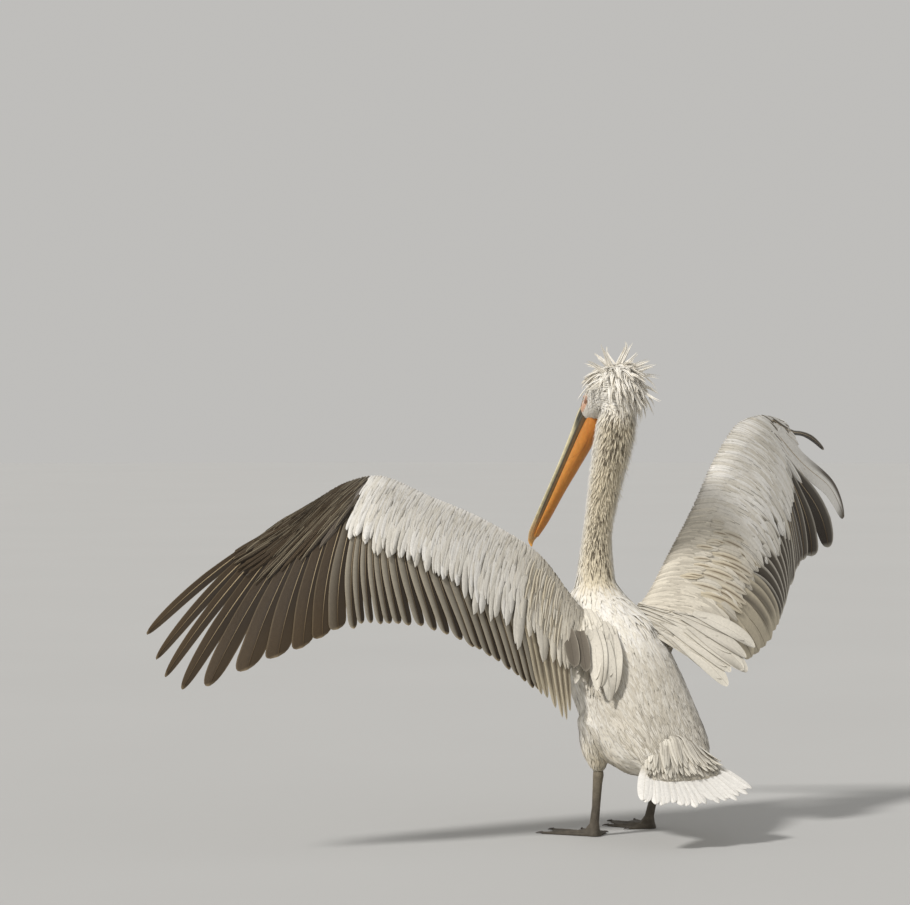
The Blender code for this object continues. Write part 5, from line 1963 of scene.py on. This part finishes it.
@dataclass
class Bill:
    """Long flat bill: upper mandible with a culmen ridge and hooked nail, lower mandible and pouch."""

    root: Array = field(default_factory=lambda: np.array((0.0, -0.1475, 1.0605)))
    tip: Array = field(default_factory=lambda: np.array((0.006, -0.421, 0.716)))
    # Rows are (share of its length, half width, half depth, offset towards the culmen).
    upper: tuple = (
        (-0.08, 0.0180, 0.0080, 0.0100), (0.00, 0.0230, 0.0110, 0.0130), (0.15, 0.0200, 0.0090, 0.0110),
        (0.40, 0.0180, 0.0065, 0.0080), (0.70, 0.0190, 0.0050, 0.0060), (0.90, 0.0180, 0.0045, 0.0055),
        (0.97, 0.0120, 0.0045, 0.0050),
    )
    lower: tuple = (
        (-0.08, 0.0190, 0.0040, -0.0020), (0.01, 0.0225, 0.0050, -0.0035), (0.15, 0.0205, 0.0045, -0.0030),
        (0.40, 0.0180, 0.0038, -0.0028), (0.70, 0.0170, 0.0032, -0.0026), (0.90, 0.0130, 0.0028, -0.0024),
        (0.965, 0.0070, 0.0022, -0.0020),
    )
    pouch: tuple = (
        (-0.08, 0.0100, 0.0080, -0.0180), (-0.03, 0.0175, 0.0190, -0.0285), (0.02, 0.0195, 0.0245, -0.0340),
        (0.12, 0.0205, 0.0245, -0.0330), (0.30, 0.0190, 0.0195, -0.0275), (0.55, 0.0150, 0.0125, -0.0200),
        (0.80, 0.0120, 0.0070, -0.0140), (0.93, 0.0070, 0.0025, -0.0088),
    )

    def __post_init__(self) -> None:
        """Works out the bill's own directions."""
        self.length = float(np.linalg.norm(self.tip - self.root))
        self.along = (self.tip - self.root) / self.length
        side = np.array((1.0, 0.0, 0.0))
        self.side = unit(side - self.along * (side @ self.along))
        self.up = np.cross(self.along, self.side)

    def rings(self, rows: tuple, around: int, steps: int) -> tuple[Array, Array, Array, Array]:
        """Rings along the bill.

        Args:
            rows: as the fields above.
            around: points in a ring.
            steps: rings, less one.

        Returns:
            Rings, the turn of each point, and the share and half depth of each ring.
        """
        values = spline(np.array(rows), np.linspace(0, len(rows) - 1, steps + 1)).T
        share, half_width, half_depth, offset = (value[:, None] for value in values)
        turn = np.arange(around)[None] * 2 * math.pi / around
        centre = self.root + self.along * (share * self.length) + self.up * offset
        wide = (half_width * np.cos(turn))[..., None] * self.side
        deep = (half_depth * np.sin(turn))[..., None] * self.up
        return centre[:, None] + wide + deep, turn, share, half_depth

    def build(self) -> None:
        """Makes the bill's pieces."""
        self.build_upper()
        self.build_lower()
        self.build_pouch()
        self.build_nail()

    def build_upper(self) -> None:
        """Upper mandible: ivory culmen ridge between dark grey panels, with ivory edges."""
        rings, turn, share, depth = self.rings(self.upper, 40, 70)
        x, high = np.cos(turn), np.sin(turn)
        ridge = np.exp(-((x / 0.20) ** 2)) * (high > 0)
        groove = np.exp(-(((np.abs(x) - 0.62) / 0.08) ** 2)) * (high > 0)
        rings = rings + self.up * (depth * (0.22 * ridge - 0.10 * groove))[..., None]
        panel = smooth(0.10, 0.22, np.abs(x)) * smooth(0.985, 0.955, np.abs(x)) * (high > -0.3)
        panel = panel * smooth(1.02, 0.80, share)
        panel = np.maximum(panel, smooth(0.16, 0.05, share) * smooth(1.0, 0.97, np.abs(x)))
        streak = 0.5 + 0.5 * np.sin(x * 38) * np.sin(share * 9 + 0.8)
        tip = 0.55 * smooth(0.72, 1.0, share) * (1 - panel)
        tint = wash(Tone.BILL_EDGE, (Tone.CULMEN, panel), (Tone.BILL_SIDE, 0.45 * panel * streak), (Tone.NAIL, tip))
        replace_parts(rings_piece("upper_mandible", rings, tint, HORN), "bill_upper")

    def build_lower(self) -> None:
        """Lower mandible: two thin rails, grey with a yellow lower edge."""
        rings, turn, share, _ = self.rings(self.lower, 32, 60)
        rim = smooth(0.70, 0.92, np.abs(np.cos(turn)))
        dark = (Tone.CULMEN, 0.8 * rim * smooth(1.0, 0.7, share))
        edge = (Tone.BILL_EDGE, smooth(0.1, 0.9, np.sin(turn)) * rim)
        tint = wash(Tone.BILL_SIDE, dark, edge, (Tone.NAIL, 0.6 * smooth(0.7, 1.0, share)))
        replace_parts(rings_piece("lower_mandible", rings, tint, HORN), "bill_lower")

    def build_pouch(self) -> None:
        """Pouch: slack skin with fine long folds, deeper orange at the throat, with faint veins."""
        rings, turn, share, _ = self.rings(self.pouch, 72, 110)
        fold = np.sin(turn * 22 + 3 * np.sin(share * 9)) * 0.00028 + np.sin(turn * 9 + 14 * share) * 0.0003
        swell = fold * np.clip(1.2 - share, 0.1, 1) * np.abs(np.sin(turn)) ** 0.5
        rings = rings + unit(rings - rings.mean(axis=1, keepdims=True)) * swell[..., None]
        vein = smooth(0.93, 1.0, np.sin(turn * 5 + 5 * np.sin(share * 11) + 2.0)) * smooth(0.75, 0.15, share)
        throat = (Tone.POUCH_DEEP, 0.55 * smooth(0.30, 0.0, share))
        low = (Tone.POUCH_DEEP, 0.35 * smooth(-0.2, -1.0, np.sin(turn)))
        tint = wash(Tone.POUCH, throat, low, (Tone.POUCH_VEIN, 0.35 * vein))
        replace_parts(rings_piece("pouch_skin", rings, tint, POUCH_SKIN), "pouch")

    def build_nail(self) -> None:
        """Hooked nail at the tip: glossy yellow-orange horn."""
        # Rows are (distance forward, rise, half width, half depth).
        rows = np.array((
            (0.0, 0.0, 0.0118, 0.0044), (0.008, -0.001, 0.0095, 0.0043), (0.015, -0.005, 0.0060, 0.0036),
            (0.0195, -0.0125, 0.0018, 0.0018),
        ))
        forward, rise, half_width, half_depth = (v[:, None, None] for v in spline(rows, np.linspace(0, 3, 19)).T)
        turn = (np.arange(28) * 2 * math.pi / 28)[None, :, None]
        lean = np.clip(-rise / 0.012, 0.0, 1.0)
        tilted = unit(self.up * (1 - 0.6 * lean) + self.along * 0.8 * lean)
        root = self.root + self.along * (0.968 * self.length) + self.up * 0.005
        centre = root + self.along * forward + self.up * rise
        rings = centre + half_width * np.cos(turn) * self.side + half_depth * np.sin(turn) * tilted
        tint = blend(Tone.NAIL, Tone.BILL_EDGE, 0.25 * (1 - lean[..., 0]))
        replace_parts(rings_piece("nail", rings, tint, HORN), "bill_nail")


@dataclass
class Eyes:
    """Pale eyes set in bare skin, each with an upper and a lower lid."""

    pupil: float = 0.0040
    iris: float = 0.0078
    opening: float = 0.0068  # half width between the lids
    fold: float = 0.0010  # half thickness of a lid

    @staticmethod
    def round_gaze(gaze: Array) -> tuple[Array, Array]:
        """Directions to the right of a gaze and above it."""
        right = unit(np.cross(gaze, np.array((0.0, 0.0, 1.0))))
        return right, np.cross(right, gaze)

    def ball(self, side: str, sign: int, centre: Array) -> None:
        """One eyeball with a round cornea.

        Args:
            side: left or right.
            sign: 1 or -1.
            centre: its middle.
        """
        gaze = unit(np.array((0.94 * sign, -0.30, 0.08)))
        right, high = self.round_gaze(gaze)
        polar = np.linspace(0.02, math.pi - 0.02, 40)[:, None]
        turn = np.linspace(0, 2 * math.pi, 48, endpoint=False)[None, :]
        off = EYE_RADIUS * np.sin(polar)
        bulge = EYE_RADIUS * (1 + 0.05 * smooth(0.9, 0.0, polar))
        place = (bulge * np.cos(polar))[..., None] * gaze + (off * np.cos(turn))[..., None] * right
        place = centre + place + (off * np.sin(turn))[..., None] * high
        radius = np.where(polar < math.pi / 2, off, 1.0)
        ring = smooth(self.iris - 0.0012, self.iris + 0.0002, radius)
        spokes = 0.5 + 0.5 * np.sin(turn * 31 + 9 * radius / self.iris)
        pupil = smooth(self.pupil + 0.0003, self.pupil - 0.0003, radius)
        tint = wash(Tone.IRIS, (Tone.SHAFT, 0.35 * spokes), (Tone.FACE_RIM, 0.75 * ring), (Tone.PUPIL, pupil))
        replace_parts(rings_piece(f"eyeball_{side}", place, tint, EYEBALL), f"eye_{side}")

    def lids(self, side: str, sign: int, centre: Array) -> None:
        """Two lids over one eye, as folds of bare skin.

        Args:
            side: left or right.
            sign: 1 or -1.
            centre: the eye's middle.
        """
        gaze = unit(np.array((0.97 * sign, -0.22, 0.06)))
        right, high = self.round_gaze(gaze)
        turn = np.linspace(0, 2 * math.pi, 64, endpoint=False)
        roll = np.append(np.linspace(0, 2 * math.pi, 14, endpoint=False), 0.0)[:, None]
        upper = np.maximum(0, np.sin(turn))
        opening = self.opening * (1 - 0.10 * np.abs(np.sin(turn)) - 0.12 * upper)
        tube = self.fold * (1 + 0.45 * upper)
        out = opening + 0.0014 + tube * np.cos(roll) * 1.9
        depth = np.sqrt(np.maximum(0, (EYE_RADIUS * 1.04) ** 2 - np.minimum(opening, EYE_RADIUS) ** 2))
        ahead = depth - 0.0009 - 0.0011 * np.cos(roll) + tube * np.sin(roll)
        flat = (out * np.cos(turn))[..., None] * right + (out * np.sin(turn))[..., None] * high
        rings = centre + flat + ahead[..., None] * gaze
        rings_piece(f"lids_{side}", rings, blend(Tone.FACE_RIM, Tone.FACE, 0.4), FACE_SKIN, False)

    def build(self) -> None:
        """Makes both eyes."""
        for side, sign in (("left", 1), ("right", -1)):
            centre = EYE_CENTRE * np.array((sign, 1, 1))
            self.ball(side, sign, centre)
            self.lids(side, sign, centre)


@dataclass
class Leg:
    """Bare shank, webbed foot and claws of one leg."""

    side: str
    voxel: float = 0.0016
    joint: float = 0.030  # height where the shank meets the foot
    overlap: float = 0.0008
    relief: float = 0.0005
    scale: float = 0.0034

    def build(self) -> None:
        """Makes the leg's skin and claws."""
        names = [f"leg_{self.side}_shank", f"leg_{self.side}_foot"]
        joined = bmesh.new()
        for name in names:
            joined.from_mesh(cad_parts[name].data)
        bmesh.ops.remove_doubles(joined, verts=joined.verts, dist=WELD)
        for v in joined.verts:
            # Shank and foot both reach a little past the height where they meet, so that they fuse.
            gap = v.co.z - self.joint
            if abs(gap) < 0.0005:
                v.co.z += self.overlap if gap < 0.00005 else -self.overlap
        cells = bpy.data.textures.new(f"leg_scales_{self.side}", "VORONOI")
        cells.noise_scale = self.scale
        points, _, faces = fused(joined, self.voxel, 8, cells, self.relief)
        points[:, 2] = np.maximum(points[:, 2], 0.0)
        x, y, z = points.T
        wave = 0.5 + 0.5 * np.sin(x * 210 + 1) * np.sin(y * 170) * np.sin(z * 140)
        # Darker mottling, and darker towards the ground.
        dark_mottle = (Tone.LEG_DARK, 0.55 * wave + 0.25 * smooth(0.03, 0.005, z))
        tint = {"tint": opaque(wash(Tone.LEG, dark_mottle, (Tone.BUFF, 0.18 * smooth(0.06, 0.16, z))))}
        piece = add_piece(f"leg_skin_{self.side}", points, by_size(faces, (3, 4)), SCALES, tint)
        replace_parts(piece, *names)
        for toe in ("hallux", "inner_toe", "middle_toe", "outer_toe"):
            self.claw(f"claw_{self.side}_{toe}")

    def claw(self, node: str) -> None:
        """A claw, rounded from its solid.

        Args:
            node: its CAD node.
        """
        shape = bmesh.new()
        shape.from_mesh(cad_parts[node].data)
        bmesh.ops.remove_doubles(shape, verts=shape.verts, dist=WELD)
        bmesh.ops.subdivide_edges(shape, edges=shape.edges, cuts=2, use_grid_fill=True, smooth=0.15)
        shape.normal_update()
        points = np.array([v.co for v in shape.verts]) - SHIFT
        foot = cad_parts[f"leg_{self.side}_foot"]
        sole = np.mean([foot.matrix_world @ Vector(corner) for corner in foot.bound_box], axis=0) - SHIFT
        inward = unit((sole - points.mean(axis=0)) * np.array((1.0, 1.0, 0.0)))
        run = (points - points.mean(axis=0)) @ inward
        points += inward * (0.005 * smooth(0.3, 0.9, (run - run.min()) / np.ptp(run)))[:, None]
        points[:, 2] = np.maximum(points[:, 2], 0.0)
        faces = [tuple(v.index for v in f.verts) for f in shape.faces]
        groups = by_size(faces, sorted({len(f) for f in faces}))
        shape.free()
        tint = {"tint": np.tile(opaque(rgb(Tone.CLAW)), (len(points), 1))}
        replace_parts(add_piece(f"{node}_horn", points, groups, CLAW_HORN, tint), node)


@dataclass
class Studio:
    """Pale floor, soft lights and the camera."""

    distance: float = 8.0
    heading: float = math.radians(30.0)
    height: float = 1.126
    aside: float = -0.417  # how far the middle of the view is to the bird's left
    lens: float = 125.1
    tilt: float = math.radians(1.168)
    floor_radius: float = 40.0

    def build(self) -> None:
        """Makes the floor, lights and camera."""
        self.camera()
        self.floor()
        self.lights()

    def camera(self) -> None:
        """The camera, behind the bird on its left."""
        right = np.array((-math.cos(self.heading), math.sin(self.heading), 0.0))
        ahead = np.array((-math.sin(self.heading), -math.cos(self.heading), 0.0))
        place = right * self.aside - ahead * self.distance + np.array((0, 0, self.height)) + SHIFT
        look = ahead * math.cos(self.tilt) - np.array((0, 0, math.sin(self.tilt)))
        data = bpy.data.cameras.new("camera")
        data.sensor_width = 36.0
        data.lens = self.lens
        camera = add_object("camera", data)
        camera.location = place
        camera.rotation_euler = Vector(look).to_track_quat("-Z", "Y").to_euler()
        bpy.context.scene.camera = camera

    def floor(self) -> None:
        """A wide pale matt floor."""
        mesh = bpy.data.meshes.new("floor")
        turn = np.linspace(0, 2 * math.pi, 64, endpoint=False)
        rim = [(self.floor_radius * math.cos(a), self.floor_radius * math.sin(a), 0.0) for a in turn]
        mesh.from_pydata(rim, [], [tuple(range(len(rim)))])
        made, tree, shader = new_material("painted_studio_floor", 0.75)
        spots = add_node(tree, "TexNoise", {"Scale": 60.0, "Detail": 6.0})
        pale = rgb(Tone.FLOOR)
        mixed = {"Factor": spots, 6: (*pale * 0.97, 1), 7: (*pale * 1.03, 1)}
        colour = add_node(tree, "Mix", mixed, data_type="RGBA")
        tree.links.new(colour.outputs[2], shader.inputs["Base Color"])
        mesh.materials.append(made)
        add_object("floor", mesh)

    def lights(self) -> None:
        """A soft key from high on the far left, a fill from behind the camera, and a pale world."""
        world = bpy.data.worlds.new("studio_air")
        world.use_nodes = True
        air = world.node_tree.nodes["Background"].inputs
        air[0].default_value, air[1].default_value = (1.0, 0.985, 0.955, 1), 0.52
        bpy.context.scene.world = world
        # Each light: name, direction towards it, strength, softness in degrees, colour.
        rows = (
            ("key", (1.0, 0.22, 0.98), 2.75, 8, (1.0, 0.975, 0.94)),
            ("fill", (0.0, 1.0, 0.40), 0.12, 70, (1.0, 0.98, 0.95)),
        )
        for name, towards, strength, softness, colour in rows:
            data = bpy.data.lights.new(name, "SUN")
            data.energy = strength
            data.angle = math.radians(softness)
            data.color = colour
            add_object(name, data).rotation_euler = Vector(towards).to_track_quat("Z", "Y").to_euler()


def main() -> None:
    """Builds the bird and its studio."""
    logging.basicConfig(level=logging.INFO, format="%(message)s")
    bpy.context.scene.view_settings.view_transform = "Standard"
    wings = [
        Wing(
            "left", 1, LEFT_RIBS, 0.0,
            reach=(0.82, 0.80, 0.79, 0.74, 0.62, 0.54, 0.42, 0.45, 0.43, 0.36),
            lie=((2.0, 2.7, 4.2, 4.8, 6.08, 6.3, 7.6, 8.6), (0.25, 0.55, 0.45, 0.30, 0.20, 1.0, 0.9, 0.2)),
            streaked=(1.40, 2.20), streaks=((0.40, 0.085, 0.0050), (0.30, 0.080, 0.0050), (0.20, 0.070, 0.0048)),
            lines=0.24, flight=LEFT_FLIGHT, seed=3,
        ),
        Wing(
            "right", -1, RIGHT_RIBS, 0.9,
            reach=(0.80, 0.76, 0.66, 0.64, 0.69, 0.66, 0.46, 0.40, 0.16, 0.06),
            lie=((1.5, 3.0, 5.0, 6.0, 8.0, 8.8), (0.75, 0.75, 0.80, 1.1, 1.0, 0.3)),
            streaked=(1.60, 3.00), streaks=((0.36, 0.095, 0.0110), (0.27, 0.070, 0.0100), (0.18, 0.036, 0.0068)),
            lines=0.7, flight=RIGHT_FLIGHT, seed=5,
        ),
    ]
    body = BodyCoat(wings)
    body.build()
    for wing in wings:
        wing.build()
    fans = [
        ScapularFan(
            "left", 1, roots=((0.024, 0.002, 0.566), (0.092, -0.040, 0.584)),
            tips=((0.126, 0.165, 0.366), (0.168, 0.135, 0.372)), count=4, dark=2, wide=0.95, seed=11,
        ),
        ScapularFan(
            "right", -1, roots=((-0.010, 0.000, 0.556), (-0.085, -0.050, 0.588)),
            tips=((-0.205, 0.165, 0.352), (-0.325, 0.120, 0.480)), count=6, dark=0, wide=1.12, seed=13,
        ),
    ]
    for fan in fans:
        fan.build()
    Tail().build()
    Crest().build(body)
    Bill().build()
    Eyes().build()
    for side in ("left", "right"):
        Leg(side).build()
    Studio().build()


if __name__ == "__main__":
    main()
